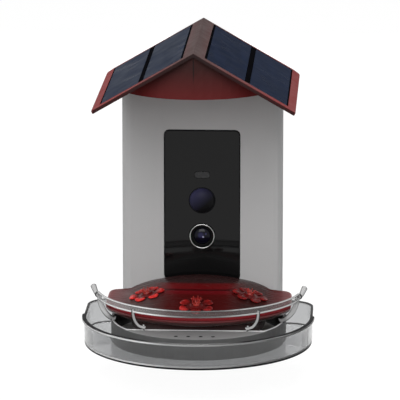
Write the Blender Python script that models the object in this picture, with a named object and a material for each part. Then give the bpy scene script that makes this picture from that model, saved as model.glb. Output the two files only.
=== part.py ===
"""Smart bird feeder: a seed hopper with a camera, a solar roof, a tray, a perch and a nectar feeder.

Origin: under the centre of the tray's front curve, on the ground. X to the right, -Y to the front.
"""

import math

import bmesh
import bpy
from mathutils import Vector

MM = 0.001
DEGREE = math.pi / 180

# Shared clearances, walls and counts
GAP = 0.3 * MM
OVERRUN = 20 * MM
SMOOTH_LIMIT = 34 * DEGREE
ARC_STEPS = 28
ROUND_STEPS = 20
SMALL_STEPS = 12
TINY_STEPS = 6
CORNER_STEPS = 3
BEND_STEPS = 2

# Column: the seed hopper's housing
COLUMN_WIDTH = 148 * MM
COLUMN_DEPTH = 33.5 * MM
COLUMN_HEIGHT = 237.7 * MM
COLUMN_FRONT = 73 * MM
COLUMN_EDGE = 8 * MM
COLUMN_WALL = 2.5 * MM
COLUMN_REAR = COLUMN_FRONT + COLUMN_DEPTH

# Rear cover and its screws
COVER_THICKNESS = 2.5 * MM
COVER_MARGIN_SIDE = 8 * MM
COVER_MARGIN_TOP = 10 * MM
COVER_MARGIN_BOTTOM = 44 * MM
COVER_CORNER = 6 * MM
COVER_LIP = 9 * MM
REAR_SCREW_INSET = 5 * MM
REAR_SCREW_RADIUS = 1.3 * MM
REAR_SCREW_HEAD = 2.9 * MM
REAR_SCREW_HEAD_DEPTH = 1.4 * MM
REAR_SCREW_LENGTH = 8 * MM
BOSS_RADIUS = 3.4 * MM
BOSS_REACH = 7 * MM
KEYHOLE_SPACING = 70 * MM
KEYHOLE_RADIUS = 4.2 * MM
KEYHOLE_SLOT = 2.2 * MM
KEYHOLE_RISE = 9 * MM
KEYHOLE_BELOW_TOP = 24 * MM

# Roof
ROOF_WIDTH = 178.4 * MM
ROOF_PITCH = 30 * DEGREE
ROOF_THICKNESS = 3.2 * MM
ROOF_FRONT_REACH = 91 * MM
ROOF_REAR_INSET = 2.5 * MM
ROOF_FRONT_CORNER = 3 * MM
ROOF_REAR_CORNER = 10 * MM
ROOF_EDGE = 0.7 * MM
RIDGE_BAND = 11 * MM
INNER_STRIP = 2 * MM
INNER_CELL = 38.5 * MM
MIDDLE_STRIP = 4.5 * MM
EAVE_MARGIN = 8 * MM
CELL_FRONT_MARGIN = 10 * MM
CELL_REAR_MARGIN = 5 * MM
SOLAR_FRAME_THICKNESS = 1 * MM
SOLAR_CELL_THICKNESS = 0.5 * MM
CELL_BORDER = 0.9 * MM

# Hood: the curved gable under the roof, which closes the hopper
HOOD_RADIUS = 73.5 * MM
HOOD_CENTRE = -9 * MM
HOOD_RISE = 38.7 * MM
HOOD_WALL = 2.5 * MM
HOOD_APEX_REACH = 5 * MM
HOOD_APEX_SLOPE = 0.42
HOOD_REAR_CLEARANCE = 0.8 * MM
HOOD_LEVELS = 4
HOOD_BOSS_RADIUS = 4 * MM
HOOD_BOSS_X = 30 * MM
HOOD_BOSS_FRONT = 48 * MM
HOOD_BOSS_REAR = 60 * MM
HOOD_SCREW_RADIUS = 1.4 * MM
HOOD_SCREW_HEAD = 3 * MM
HOOD_SCREW_HEAD_DEPTH = 1.6 * MM
HOOD_SCREW_LENGTH = 9 * MM

# Roof hinge at the rear of the column
HINGE_INSET = 29 * MM
HINGE_BARREL = 3 * MM
HINGE_PIN = 1.2 * MM
HINGE_KNUCKLE = 8 * MM
HINGE_LUG = 4 * MM
HINGE_DROP = 5 * MM

# Tray
TRAY_RADIUS = 101.8 * MM
TRAY_DRAFT = 1.6 * MM
TRAY_HEIGHT = 24.2 * MM
TRAY_WALL = 2.2 * MM
TRAY_FLOOR = 2.5 * MM
TRAY_FOOT_ROUND = 3 * MM
TRAY_REAR = 60.5 * MM
TRAY_CORNER = 22 * MM
TRAY_LIP_REACH = 3.7 * MM
TRAY_LIP_HEIGHT = 2.4 * MM

# Feed base: basin, neck and hopper foot
BASIN_RADIUS = 79 * MM
BASIN_TOP = 22 * MM
BASIN_WALL = 2.5 * MM
BASIN_FLOOR = 3 * MM
BASIN_REAR = 53 * MM
BASIN_CORNER = 16 * MM
BASIN_CHORD = 48 * MM
BASIN_BEND = 4 * MM
LEDGE_THICKNESS = 2.5 * MM
DRAIN_COUNT = 4
DRAIN_PITCH = 11 * MM
DRAIN_RADIUS = 1.6 * MM
DRAIN_INSET = 10 * MM
NECK_WIDTH = 110 * MM
NECK_BOTTOM = 12.5 * MM
NECK_FLOOR = 2.5 * MM
NECK_CLEARANCE = 1 * MM
OUTLET_HEIGHT = 8.5 * MM
FOOT_WALL = 2.5 * MM
RAMP_RISE = 18 * MM
BASE_SCREW_Z = 8 * MM
BASE_SCREW_INSET = 14 * MM
BASE_SCREW_RADIUS = 1.4 * MM
BASE_SCREW_HEAD = 3 * MM
BASE_SCREW_HEAD_DEPTH = 1.4 * MM
BASE_SCREW_LENGTH = 9 * MM
BASE_BOSS_RADIUS = 4 * MM

# Camera
PANEL_WIDTH = 70 * MM
PANEL_HEIGHT = 141.6 * MM
PANEL_BOTTOM = 39.3 * MM
PANEL_CORNER = 4.5 * MM
PANEL_RECESS = 0.8 * MM
GASKET_THICKNESS = 1 * MM
GASKET_BAND = 4 * MM
CASE_BORDER = 3.5 * MM
CASE_WALL = 2 * MM
CASE_REAR_CLEARANCE = 0.3 * MM
PORT_BOSS_WIDTH = 44 * MM
PORT_BOSS_HEIGHT = 18 * MM
PORT_BOSS_DROP = 30.9 * MM
PORT_BOSS_CORNER = 4 * MM
PORT_BOSS_INSET = 1.5 * MM
PORT_WALL = 1.5 * MM
LENS_Z = 80.7 * MM
LENS_RING_RADIUS = 11.9 * MM
LENS_RING_WIDTH = 1.6 * MM
LENS_RING_PROUD = 1.2 * MM
LENS_RING_DEPTH = 3 * MM
LENS_BARREL_RADIUS = 10 * MM
LENS_MOUTH_RADIUS = 8.8 * MM
LENS_STEP_RADIUS = 6.6 * MM
LENS_SEAT_RADIUS = 4.6 * MM
LENS_STEP_DEPTH = 1.3 * MM
LENS_GLASS_DOME = 2 * MM
SENSOR_SIZE = 12 * MM
SENSOR_THICKNESS = 1.4 * MM
PIR_Z = 114.6 * MM
PIR_RADIUS = 11.6 * MM
PIR_RISE = 5 * MM
PIR_WALL = 1.2 * MM
PIR_FLANGE = 1.8 * MM
PIR_CAN_RADIUS = 4.6 * MM
PIR_CAN_HEIGHT = 4 * MM
PIR_STEPS = 3
WINDOW_Z = 138.4 * MM
WINDOW_WIDTH = 14 * MM
WINDOW_HEIGHT = 5.8 * MM
WINDOW_FLANGE = 1.5 * MM
BOARD_Y = 88 * MM
BOARD_THICKNESS = 1.6 * MM
BOARD_MARGIN = 3 * MM
BOARD_POST_RADIUS = 2.4 * MM
BOARD_POST_INSET = 3.5 * MM
BATTERY_WIDTH = 54 * MM
BATTERY_HEIGHT = 66 * MM
BATTERY_BOTTOM = 50 * MM
BATTERY_CLEARANCE = 1.4 * MM
PORT_BOARD_WIDTH = 46 * MM
PORT_BOARD_HEIGHT = 20 * MM
PORT_BOARD_THICKNESS = 1.2 * MM
USB_WIDTH = 8.9 * MM
USB_HEIGHT = 3.2 * MM
USB_WALL = 0.4 * MM
USB_OFFSET = 9 * MM
SWITCH_SIZE = 6 * MM
SWITCH_DEPTH = 1.6 * MM
BUTTON_RADIUS = 4 * MM
BUTTON_OFFSET = 10 * MM
BUTTON_TRAVEL = 1 * MM
BUTTON_PROUD = 1.2 * MM
BUTTON_COLLAR = 1 * MM
FLAP_WIDTH = 15 * MM
FLAP_HEIGHT = 9 * MM
FLAP_THICKNESS = 1 * MM
FLAP_CORNER = 2 * MM

# Nectar feeder
FEEDER_ARC_RADIUS = 92 * MM
FEEDER_FRONT = 55 * MM
FEEDER_HALF_WIDTH = 84 * MM
EAR_REAR = 45 * MM
EAR_CORNER = 7 * MM
SHOULDER_RADIUS = 73 * MM
SHOULDER_CENTRE = 16 * MM
DOME_CENTRE = 30 * MM
DOME_HALF_WIDTH = 68 * MM
DOME_FRONT_DEPTH = 85 * MM
DOME_REAR_DEPTH = 73 * MM
DOME_RISE = 15.2 * MM
DOME_POWER = 1.35
FEEDER_REAR_CLEARANCE = 2.5 * MM
COVER_TOP = 37 * MM
COVER_EDGE_HEIGHT = 3.4 * MM
FEEDER_SHELL = 2 * MM
BOWL_RIM = 32 * MM
BOWL_UNDERSIDE = 24.8 * MM
WELL_HALF_WIDTH = 62 * MM
WELL_HALF_DEPTH = 45 * MM
WELL_CENTRE = 3 * MM
WELL_BOTTOM = 8 * MM
BOWL_FOOT_X = 30 * MM
BOWL_FOOT_Y = 18 * MM
BOWL_FOOT_RADIUS = 3 * MM
SEAL_HEIGHT = 1.6 * MM
FEEDER_FRONT_STEPS = 20
FEEDER_REAR_STEPS = 4
COVER_EDGE_SHARE = 0.985
COVER_INNER_SHARE = 0.955
COVER_RING_SHARES = (0.945, 0.8, 0.6, 0.4, 0.22, 0.08)
COVER_INSIDE_SHARES = (0.945, 0.6, 0.22)
SEAL_SHARES = (0.93, 0.962)
WELL_SHARES = ((0.78, 0), (0.92, 0.25), (1, 0.9))
HULL_SHARES = ((0.86, 0), (0.93, 0.2), (0.985, 0.6), (1, 1))
HULL_INNER_SHARES = ((0.975, 1), (0.97, 0.74), (0.92, 0.7), (0.84, 0.3))
FLOWER_X = 46.5 * MM
FLOWER_SIDE_Y = 2 * MM
FLOWER_FRONT_Y = -37 * MM
FLOWER_RADIUS = 16.5 * MM
FLOWER_BASE = 9.5 * MM
FLOWER_BASE_HEIGHT = 2.2 * MM
PETAL_RADIUS = 5.6 * MM
PETAL_HEIGHT = 5.2 * MM
PETAL_COUNT = 6
FLOWER_TUBE = 4.6 * MM
FLOWER_BORE = 3.2 * MM
FLOWER_TUBE_DROP = 4 * MM
GUARD_RADIUS = 2.9 * MM
GUARD_BORE = 1.6 * MM
GUARD_HEIGHT = 3 * MM
GUARD_PROUD = 1 * MM
STAMEN_COUNT = 8
STAMEN_LENGTH = 5 * MM
STAMEN_ROOT = 0.7 * MM
STAMEN_TIP = 0.3 * MM
STAMEN_LEAN = 0.6
STAMEN_TURN_SHARE = 0.3
PETAL_TURN_SHARE = 0.5
PETAL_SEGMENTS = 8
PETAL_RINGS = 5

# Perch
RAIL_RADIUS = 94 * MM
RAIL_CENTRE = 27 * MM
RAIL_SPREAD = 75 * DEGREE
RAIL_HEIGHT = 6.6 * MM
RAIL_THICKNESS = 2.2 * MM
RAIL_Z = 41.6 * MM
POST_THICKNESS = 2.4 * MM
INNER_POST_WIDTH = 3.4 * MM
INNER_POST_TOP_X = 56 * MM
INNER_POST_FOOT_X = 45 * MM
OUTER_POST_WIDTH = 5.2 * MM
OUTER_FOOT_ANGLE = 14.4 * DEGREE
OUTER_POST_INSET = 2 * DEGREE
HANDLE_LENGTH = 13 * MM
HANDLE_RISE = 6 * MM
HANDLE_HEADING = 60 * DEGREE
HANDLE_KNOB = 2.6 * MM
HANDLE_ROOT = 1.6 * MM
POST_STEPS = 3
RAIL_STEPS = 28
INNER_POST_SHARES = ((0.1, 0.5), (0.62, 0.88))
OUTER_POST_SHARES = ((0.05, 0.4), (0.62, 0.84))
HANDLE_SHARES = ((0.35, 0.15), (0.8, 1))
HANDLE_TIP_SHARE = 0.5

# Places that follow from the sizes above
COLUMN_MIDDLE = COLUMN_FRONT + COLUMN_DEPTH / 2
COLUMN_INNER_FRONT = COLUMN_FRONT + COLUMN_WALL
COLUMN_INNER_REAR = COLUMN_REAR - COLUMN_WALL
COVER_FACE = COLUMN_REAR + GAP + COVER_THICKNESS
COVER_TOP_EDGE = COLUMN_HEIGHT - COVER_MARGIN_TOP
COVER_WIDTH = COLUMN_WIDTH - 2 * COVER_MARGIN_SIDE
COVER_HEIGHT = COVER_TOP_EDGE - COVER_MARGIN_BOTTOM
COVER_CENTRE = (0, COVER_MARGIN_BOTTOM + COVER_HEIGHT / 2)
HOOD_BOTTOM = COLUMN_HEIGHT + GAP
RIDGE_UNDERSIDE = HOOD_BOTTOM + HOOD_RISE
RIDGE_TOP = RIDGE_UNDERSIDE + ROOF_THICKNESS / math.cos(ROOF_PITCH)
ROOF_REAR = COLUMN_REAR - ROOF_REAR_INSET
SLOPE_LENGTH = ROOF_WIDTH / 2 / math.cos(ROOF_PITCH)
SOLAR_DEPTH = GAP + SOLAR_FRAME_THICKNESS + GAP + SOLAR_CELL_THICKNESS
HINGE_X = COLUMN_WIDTH / 2 - HINGE_INSET
HINGE_Y = COVER_FACE - HINGE_BARREL
HINGE_Z = COLUMN_HEIGHT + 2 * GAP + HINGE_BARREL
HOOD_REAR = HINGE_Y - HINGE_BARREL - HOOD_REAR_CLEARANCE
BASIN_BOTTOM = TRAY_FLOOR + GAP
NECK_FLOOR_TOP = NECK_BOTTOM + NECK_FLOOR
FOOT_FRONT = COLUMN_INNER_FRONT + GAP
FOOT_REAR = COLUMN_INNER_REAR - GAP
CASE_FRONT = COLUMN_INNER_FRONT + 2 * GAP + GASKET_THICKNESS
CASE_REAR = COLUMN_INNER_REAR - CASE_REAR_CLEARANCE
CASE_FLOOR = CASE_REAR - CASE_WALL
CASE_WIDTH = PANEL_WIDTH + 2 * CASE_BORDER
CASE_HEIGHT = PANEL_HEIGHT + 2 * CASE_BORDER
CASE_CORNER = PANEL_CORNER + CASE_BORDER
PANEL_CENTRE = (0, PANEL_BOTTOM + PANEL_HEIGHT / 2)
PANEL_FACE = COLUMN_FRONT + PANEL_RECESS
PORT_BOSS_Z = PANEL_BOTTOM + PANEL_HEIGHT - PORT_BOSS_DROP
BOARD_REAR = BOARD_Y + BOARD_THICKNESS
PORT_FACE = COVER_FACE - PORT_BOSS_INSET
PORT_INNER = PORT_FACE - PORT_WALL
PORT_BOARD_REAR = CASE_FLOOR - GAP
FEEDER_ARC_CENTRE = FEEDER_ARC_RADIUS - FEEDER_FRONT
FEEDER_REAR = COLUMN_FRONT - FEEDER_REAR_CLEARANCE


def clear_scene():
    for item in list(bpy.data.objects):
        bpy.data.objects.remove(item, do_unlink=True)


def make_material(name, colour, roughness, metallic=0.0, alpha=1.0):
    material = bpy.data.materials.new(name)
    material.use_nodes = True
    shader = material.node_tree.nodes["Principled BSDF"]
    shader.inputs["Base Color"].default_value = (*colour, 1.0)
    shader.inputs["Roughness"].default_value = roughness
    shader.inputs["Metallic"].default_value = metallic
    shader.inputs["Alpha"].default_value = alpha
    material.diffuse_color = (*colour, alpha)
    return material


def make_materials():
    return {
        "grey": make_material("grey_plastic", (0.36, 0.37, 0.37), 0.55),
        "red": make_material("red_plastic", (0.2, 0.03, 0.03), 0.45),
        "cell": make_material("solar_cell", (0.03, 0.05, 0.1), 0.25),
        "black": make_material("black_plastic", (0.015, 0.015, 0.017), 0.4),
        "gloss": make_material("black_gloss", (0.01, 0.01, 0.012), 0.08),
        "rubber": make_material("rubber", (0.03, 0.03, 0.03), 0.8),
        "clear": make_material("clear_plastic", (0.6, 0.62, 0.62), 0.08, alpha=0.35),
        "nectar": make_material("nectar_red", (0.3, 0.02, 0.03), 0.12, alpha=0.85),
        "flower": make_material("flower_red", (0.6, 0.03, 0.03), 0.2),
        "guard": make_material("guard_red", (0.4, 0.05, 0.04), 0.35),
        "chrome": make_material("bright_metal", (0.75, 0.75, 0.76), 0.15, 1.0),
        "steel": make_material("steel", (0.5, 0.5, 0.5), 0.35, 1.0),
        "glass": make_material("lens_glass", (0.03, 0.03, 0.08), 0.03),
        "board": make_material("circuit_board", (0.02, 0.12, 0.05), 0.5),
        "battery": make_material("battery_wrap", (0.05, 0.12, 0.3), 0.4),
    }


def finish(name, mesh_data, material):
    """Turns a bmesh into a named object with its faces pointing out and its round faces smooth."""
    bmesh.ops.recalc_face_normals(mesh_data, faces=mesh_data.faces)
    mesh = bpy.data.meshes.new(name)
    mesh_data.to_mesh(mesh)
    mesh_data.free()
    mesh.shade_smooth()
    mesh.set_sharp_from_angle(angle=SMOOTH_LIMIT)
    if material:
        mesh.materials.append(material)
    item = bpy.data.objects.new(name, mesh)
    bpy.context.scene.collection.objects.link(item)
    return item


def loft(name, rings, material=None, closed=False):
    """Skins rings of equally many points. The end rings are capped, or joined if the loft is closed."""
    mesh_data = bmesh.new()
    loops = [[mesh_data.verts.new(point) for point in ring] for ring in rings]
    pairs = list(zip(loops, loops[1:]))
    if closed:
        pairs.append((loops[-1], loops[0]))
    else:
        mesh_data.faces.new(loops[0][::-1])
        mesh_data.faces.new(loops[-1])
    for low, high in pairs:
        for here in range(len(low)):
            there = (here + 1) % len(low)
            mesh_data.faces.new((low[here], low[there], high[there], high[here]))
    return finish(name, mesh_data, material)


def prism(name, outline, axis, start, end, material=None):
    """Extrudes an outline along x, y or z. The outline holds the other two coordinates in their order."""
    places = {
        "x": lambda a, b, along: (along, a, b),
        "y": lambda a, b, along: (a, along, b),
        "z": lambda a, b, along: (a, b, along),
    }
    place = places[axis]
    rings = [[place(a, b, along) for a, b in outline] for along in (start, end)]
    return loft(name, rings, material)


def arc(centre, radius, first, last, steps):
    """Points on an arc from one angle to the other, ends included."""
    angles = [first + (last - first) * step / steps for step in range(steps + 1)]
    return [(centre[0] + radius * math.cos(a), centre[1] + radius * math.sin(a)) for a in angles]


def circle(radius, centre=(0, 0), count=ROUND_STEPS):
    return arc(centre, radius, 0, 2 * math.pi, count)[:-1]


def rounded_rectangle(width, height, corner, centre=(0, 0), steps=CORNER_STEPS):
    points = []
    for quarter, (across, up) in enumerate(((1, -1), (1, 1), (-1, 1), (-1, -1))):
        middle = (
            centre[0] + across * (width / 2 - corner),
            centre[1] + up * (height / 2 - corner),
        )
        start = (quarter - 1) * math.pi / 2
        points += arc(middle, corner, start, start + math.pi / 2, steps)
    return points


def rectangle(low, high):
    return [(low[0], low[1]), (high[0], low[1]), (high[0], high[1]), (low[0], high[1])]


def turned(name, profile, centre, direction, material=None, count=ROUND_STEPS, closed=False):
    """Turns a profile of (radius, distance along the direction) pairs round an axis."""
    turn = Vector(direction).to_track_quat("Z", "Y").to_matrix()
    start = Vector(centre)
    rings = []
    for radius, along in profile:
        flat = circle(radius, count=count)
        rings.append([start + turn @ Vector((x, y, along)) for x, y in flat])
    return loft(name, rings, material, closed)


def rod(name, radius, start, end, material=None, count=SMALL_STEPS):
    direction = Vector(end) - Vector(start)
    profile = [(radius, 0), (radius, direction.length)]
    return turned(name, profile, start, direction, material, count)


def combine(item, tool, operation):
    """Applies a helper shape to an object and keeps the helper as a wire."""
    modifier = item.modifiers.new(operation.lower() + "_" + tool.name, "BOOLEAN")
    modifier.operation = operation
    modifier.object = tool
    modifier.solver = "EXACT"
    tool.hide_render = True
    tool.display_type = "WIRE"


def cut(item, *tools):
    for tool in tools:
        combine(item, tool, "DIFFERENCE")


def add(item, *tools):
    for tool in tools:
        combine(item, tool, "UNION")


def set_origin(item, point):
    """Moves an object's origin to a point and leaves its shape where it is."""
    shift = Vector(point) - item.location
    for vertex in item.data.vertices:
        vertex.co -= shift
    item.location = point


def make_axis(name, point):
    axis = bpy.data.objects.new(name, None)
    axis.location = point
    bpy.context.scene.collection.objects.link(axis)
    return axis


def carry(axis, items):
    """Parents objects to an empty without moving them."""
    for item in items:
        item.parent = axis
        item.location = item.location - axis.location


def underside(x):
    return RIDGE_UNDERSIDE - abs(x) * math.tan(ROOF_PITCH)


def screw_profile(radius, head, head_depth, length):
    """A countersunk screw, from its flat head down to its tip."""
    return [(head, 0), (radius, head_depth), (radius, length)]


def screw_space(radius, head, head_depth, length):
    """The clearance that a countersunk screw needs, open above its head."""
    return [
        (head + GAP, -OVERRUN),
        (head + GAP, 0),
        (radius + GAP, head_depth),
        (radius + GAP, length + GAP),
    ]


def tombstone(centre, radius, bottom):
    """A lug's outline: upright sides under a half circle."""
    points = [(centre[0] - radius, bottom), (centre[0] + radius, bottom)]
    return points + arc(centre, radius, 0, math.pi, TINY_STEPS)


def hinge_places(side):
    """The two stretches along X that the column's lugs of one hinge take."""
    middle = side * HINGE_X
    near = HINGE_KNUCKLE / 2 + GAP
    far = near + HINGE_LUG
    return (middle - far, middle - near), (middle + near, middle + far)


def make_roof_space():
    """The space of the roof slab and all above it, which trims what lies under the roof."""
    reach = ROOF_WIDTH
    low = underside(reach) - GAP
    outline = [(-reach, low), (0, RIDGE_UNDERSIDE - GAP), (reach, low)]
    outline += [(reach, RIDGE_TOP + OVERRUN), (-reach, RIDGE_TOP + OVERRUN)]
    return prism("roof_space", outline[::-1], "y", -ROOF_FRONT_REACH - OVERRUN, COVER_FACE + OVERRUN)


def rear_screw_places():
    across = COVER_WIDTH / 2 - REAR_SCREW_INSET
    low = COVER_MARGIN_BOTTOM + REAR_SCREW_INSET
    high = COVER_TOP_EDGE - REAR_SCREW_INSET
    return [(-across, low), (across, low), (-across, high), (across, high)]


def base_screw_places():
    across = COLUMN_WIDTH / 2 - BASE_SCREW_INSET
    return {"left": -across, "right": across}


def column_outline(inset):
    return rounded_rectangle(
        COLUMN_WIDTH - 2 * inset,
        COLUMN_DEPTH - 2 * inset,
        COLUMN_EDGE - inset,
        (0, COLUMN_MIDDLE),
    )


def make_column(materials, roof_space):
    shell = prism("column_shell", column_outline(0), "z", 0, COLUMN_HEIGHT, materials["grey"])
    inside = prism("hopper_space", column_outline(COLUMN_WALL), "z", -OVERRUN, COLUMN_HEIGHT + OVERRUN)
    opening = rounded_rectangle(
        PANEL_WIDTH + 2 * GAP, PANEL_HEIGHT + 2 * GAP, PANEL_CORNER + GAP, PANEL_CENTRE
    )
    camera_opening = prism("camera_opening", opening, "y", COLUMN_FRONT - OVERRUN, COLUMN_MIDDLE)
    half_outlet = NECK_WIDTH / 2 + GAP
    outlet = rectangle(
        (-half_outlet, NECK_BOTTOM - GAP), (half_outlet, NECK_FLOOR_TOP + OUTLET_HEIGHT)
    )
    seed_outlet = prism("seed_outlet", outlet, "y", COLUMN_FRONT - OVERRUN, COLUMN_MIDDLE)
    window = rounded_rectangle(
        COVER_WIDTH - 2 * COVER_LIP, COVER_HEIGHT - 2 * COVER_LIP, COVER_CORNER, COVER_CENTRE
    )
    rear_window = prism("rear_window", window, "y", COLUMN_MIDDLE, COLUMN_REAR + OVERRUN)
    cut(shell, inside, camera_opening, seed_outlet, rear_window, roof_space)
    for number, (x, z) in enumerate(rear_screw_places(), 1):
        start = (x, COLUMN_REAR - COLUMN_WALL / 2, z)
        add(shell, rod(f"rear_boss_{number}", BOSS_RADIUS, start, (x, COLUMN_INNER_REAR - BOSS_REACH, z)))
        hole_end = (x, COLUMN_INNER_REAR - BOSS_REACH - OVERRUN, z)
        hole_start = (x, COLUMN_REAR + OVERRUN, z)
        cut(shell, rod(f"rear_boss_hole_{number}", REAR_SCREW_RADIUS + GAP, hole_start, hole_end))
    base_screw = (BASE_SCREW_RADIUS, BASE_SCREW_HEAD, BASE_SCREW_HEAD_DEPTH, BASE_SCREW_LENGTH)
    for side_name, x in base_screw_places().items():
        profile = screw_space(*base_screw)
        place = (x, COLUMN_REAR, BASE_SCREW_Z)
        cut(shell, turned(f"base_screw_hole_{side_name}", profile, place, (0, -1, 0), count=SMALL_STEPS))
    lug = tombstone((HINGE_Y, HINGE_Z), HINGE_BARREL, COLUMN_HEIGHT - HINGE_DROP)
    for side_name, side in (("left", -1), ("right", 1)):
        for number, (start, end) in enumerate(hinge_places(side), 1):
            add(shell, prism(f"hinge_lug_{side_name}_{number}", lug, "x", start, end))
        outer = HINGE_KNUCKLE + HINGE_LUG
        middle = side * HINGE_X
        bore = rod(
            f"hinge_bore_{side_name}",
            HINGE_PIN + GAP,
            (middle - outer, HINGE_Y, HINGE_Z),
            (middle + outer, HINGE_Y, HINGE_Z),
        )
        cut(shell, bore)
    return shell


def make_hinge_pins(materials):
    pins = []
    for side_name, side in (("left", -1), ("right", 1)):
        (start, _), (_, end) = hinge_places(side)
        low, high = (start, HINGE_Y, HINGE_Z), (end, HINGE_Y, HINGE_Z)
        pins.append(rod(f"hinge_pin_{side_name}", HINGE_PIN, low, high, materials["steel"]))
    return pins


def make_rear_cover(materials):
    outline = rounded_rectangle(COVER_WIDTH, COVER_HEIGHT, COVER_CORNER, COVER_CENTRE)
    cover = prism("rear_cover", outline, "y", COLUMN_REAR + GAP, COVER_FACE, materials["grey"])
    port = rounded_rectangle(
        PORT_BOSS_WIDTH + 2 * GAP, PORT_BOSS_HEIGHT + 2 * GAP, PORT_BOSS_CORNER + GAP, (0, PORT_BOSS_Z)
    )
    cut(cover, prism("port_opening", port, "y", COLUMN_REAR - OVERRUN, COVER_FACE + OVERRUN))
    keyhole_z = COVER_TOP_EDGE - KEYHOLE_BELOW_TOP
    for side_name, side in (("left", -1), ("right", 1)):
        middle = (side * KEYHOLE_SPACING / 2, keyhole_z)
        wide_angle = math.acos(KEYHOLE_SLOT / KEYHOLE_RADIUS)
        outline = arc(middle, KEYHOLE_RADIUS, math.pi - wide_angle, 2 * math.pi + wide_angle, SMALL_STEPS)
        top = (middle[0], keyhole_z + KEYHOLE_RISE)
        outline += arc(top, KEYHOLE_SLOT, 0, math.pi, TINY_STEPS)
        keyhole = prism(f"keyhole_{side_name}", outline, "y", COLUMN_REAR - OVERRUN, COVER_FACE + OVERRUN)
        cut(cover, keyhole)
    screws = []
    sizes = (REAR_SCREW_RADIUS, REAR_SCREW_HEAD, REAR_SCREW_HEAD_DEPTH, REAR_SCREW_LENGTH)
    for number, (x, z) in enumerate(rear_screw_places(), 1):
        place = (x, COVER_FACE - GAP, z)
        profile = screw_space(*sizes)
        cut(cover, turned(f"rear_screw_hole_{number}", profile, place, (0, -1, 0), count=SMALL_STEPS))
        screw = turned(
            f"rear_screw_{number}",
            screw_profile(*sizes),
            place,
            (0, -1, 0),
            materials["steel"],
            SMALL_STEPS,
        )
        screws.append(screw)
    return [cover] + screws


def front_curve(radius):
    """The half circle at the front, from the left end over the front to the right end."""
    return arc((0, 0), radius, math.pi, 2 * math.pi, ARC_STEPS)


def quarter_round(radius):
    """A round between a floor and a wall: the inset from the wall and the rise, from the floor up."""
    turns = [math.pi / 2 * step / BEND_STEPS for step in range(BEND_STEPS + 1)]
    return [(radius * (1 - math.sin(turn)), radius * (1 - math.cos(turn))) for turn in turns]


def d_outline(radius, rear, corner, inset=0):
    """A plan with a half circle at the front, straight sides and rounded rear corners."""
    side = radius - inset
    back = rear - inset
    bend = corner - inset
    points = front_curve(side)
    points += arc((side - bend, back - bend), bend, 0, math.pi / 2, CORNER_STEPS)
    points += arc((bend - side, back - bend), bend, math.pi / 2, math.pi, CORNER_STEPS)
    return points


def ring_at(outline, z):
    return [(x, y, z) for x, y in outline]


def tray_ring(inset, z):
    draft = TRAY_DRAFT * (1 - z / TRAY_HEIGHT)
    return ring_at(d_outline(TRAY_RADIUS, TRAY_REAR, TRAY_CORNER, draft + inset), z)


def make_tray(materials):
    foot = quarter_round(TRAY_FOOT_ROUND)
    rings = [tray_ring(inset, rise) for inset, rise in foot]
    rings += [tray_ring(0, TRAY_HEIGHT), tray_ring(TRAY_WALL, TRAY_HEIGHT)]
    rings += [tray_ring(TRAY_WALL + inset, TRAY_FLOOR + rise) for inset, rise in foot[::-1]]
    tray = loft("clear_tray", rings, materials["clear"])
    lip = front_curve(TRAY_RADIUS + TRAY_LIP_REACH)
    lip += front_curve(TRAY_RADIUS - TRAY_WALL / 2)[::-1]
    add(tray, prism("tray_lip", lip, "z", TRAY_HEIGHT - TRAY_LIP_HEIGHT, TRAY_HEIGHT))
    half_notch = NECK_WIDTH / 2 + NECK_CLEARANCE
    notch = rectangle((-half_notch, NECK_BOTTOM - NECK_CLEARANCE), (half_notch, TRAY_HEIGHT + OVERRUN))
    cut(tray, prism("tray_notch", notch, "y", BASIN_REAR, TRAY_REAR + OVERRUN))
    return tray


def chord_outline(radius, chord, rear, corner):
    """The bowl's plan: a D whose front is cut straight, with small round corners at the cut."""
    angle = math.asin(chord / radius)
    points = arc((0, 0), radius, -angle, 0, ARC_STEPS // 4)
    points += arc((radius - corner, rear - corner), corner, 0, math.pi / 2, CORNER_STEPS)
    points += arc((corner - radius, rear - corner), corner, math.pi / 2, math.pi, CORNER_STEPS)
    return points + arc((0, 0), radius, math.pi, math.pi + angle, ARC_STEPS // 4)


def bowl_ring(inset, z):
    radius = BASIN_RADIUS - BASIN_WALL - inset
    outline = chord_outline(
        radius, BASIN_CHORD - inset, BASIN_REAR - BASIN_WALL - inset, BASIN_CORNER - BASIN_WALL - inset
    )
    return ring_at(outline, z)


def make_basin_cutters():
    floor = BASIN_BOTTOM + BASIN_FLOOR
    rings = [bowl_ring(inset, floor + rise) for inset, rise in quarter_round(BASIN_BEND)]
    rings.append(bowl_ring(0, BASIN_TOP + OVERRUN))
    bowl = loft("bowl_space", rings)
    inner = BASIN_RADIUS - BASIN_WALL
    angle = math.asin((BASIN_CHORD + BASIN_WALL) / inner)
    segment = arc((0, 0), inner, math.pi + angle, 2 * math.pi - angle, ARC_STEPS // 2)
    pocket = prism("ledge_pocket", segment, "z", -OVERRUN, BASIN_TOP - LEDGE_THICKNESS)
    tools = [bowl, pocket]
    for number in range(DRAIN_COUNT):
        x = DRAIN_PITCH * (number - (DRAIN_COUNT - 1) / 2)
        y = -(BASIN_RADIUS - DRAIN_INSET)
        ends = [(x, y, z) for z in (BASIN_TOP - 2 * LEDGE_THICKNESS, BASIN_TOP + OVERRUN)]
        tools.append(rod(f"drain_hole_{number + 1}", DRAIN_RADIUS, *ends))
    return tools


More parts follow.
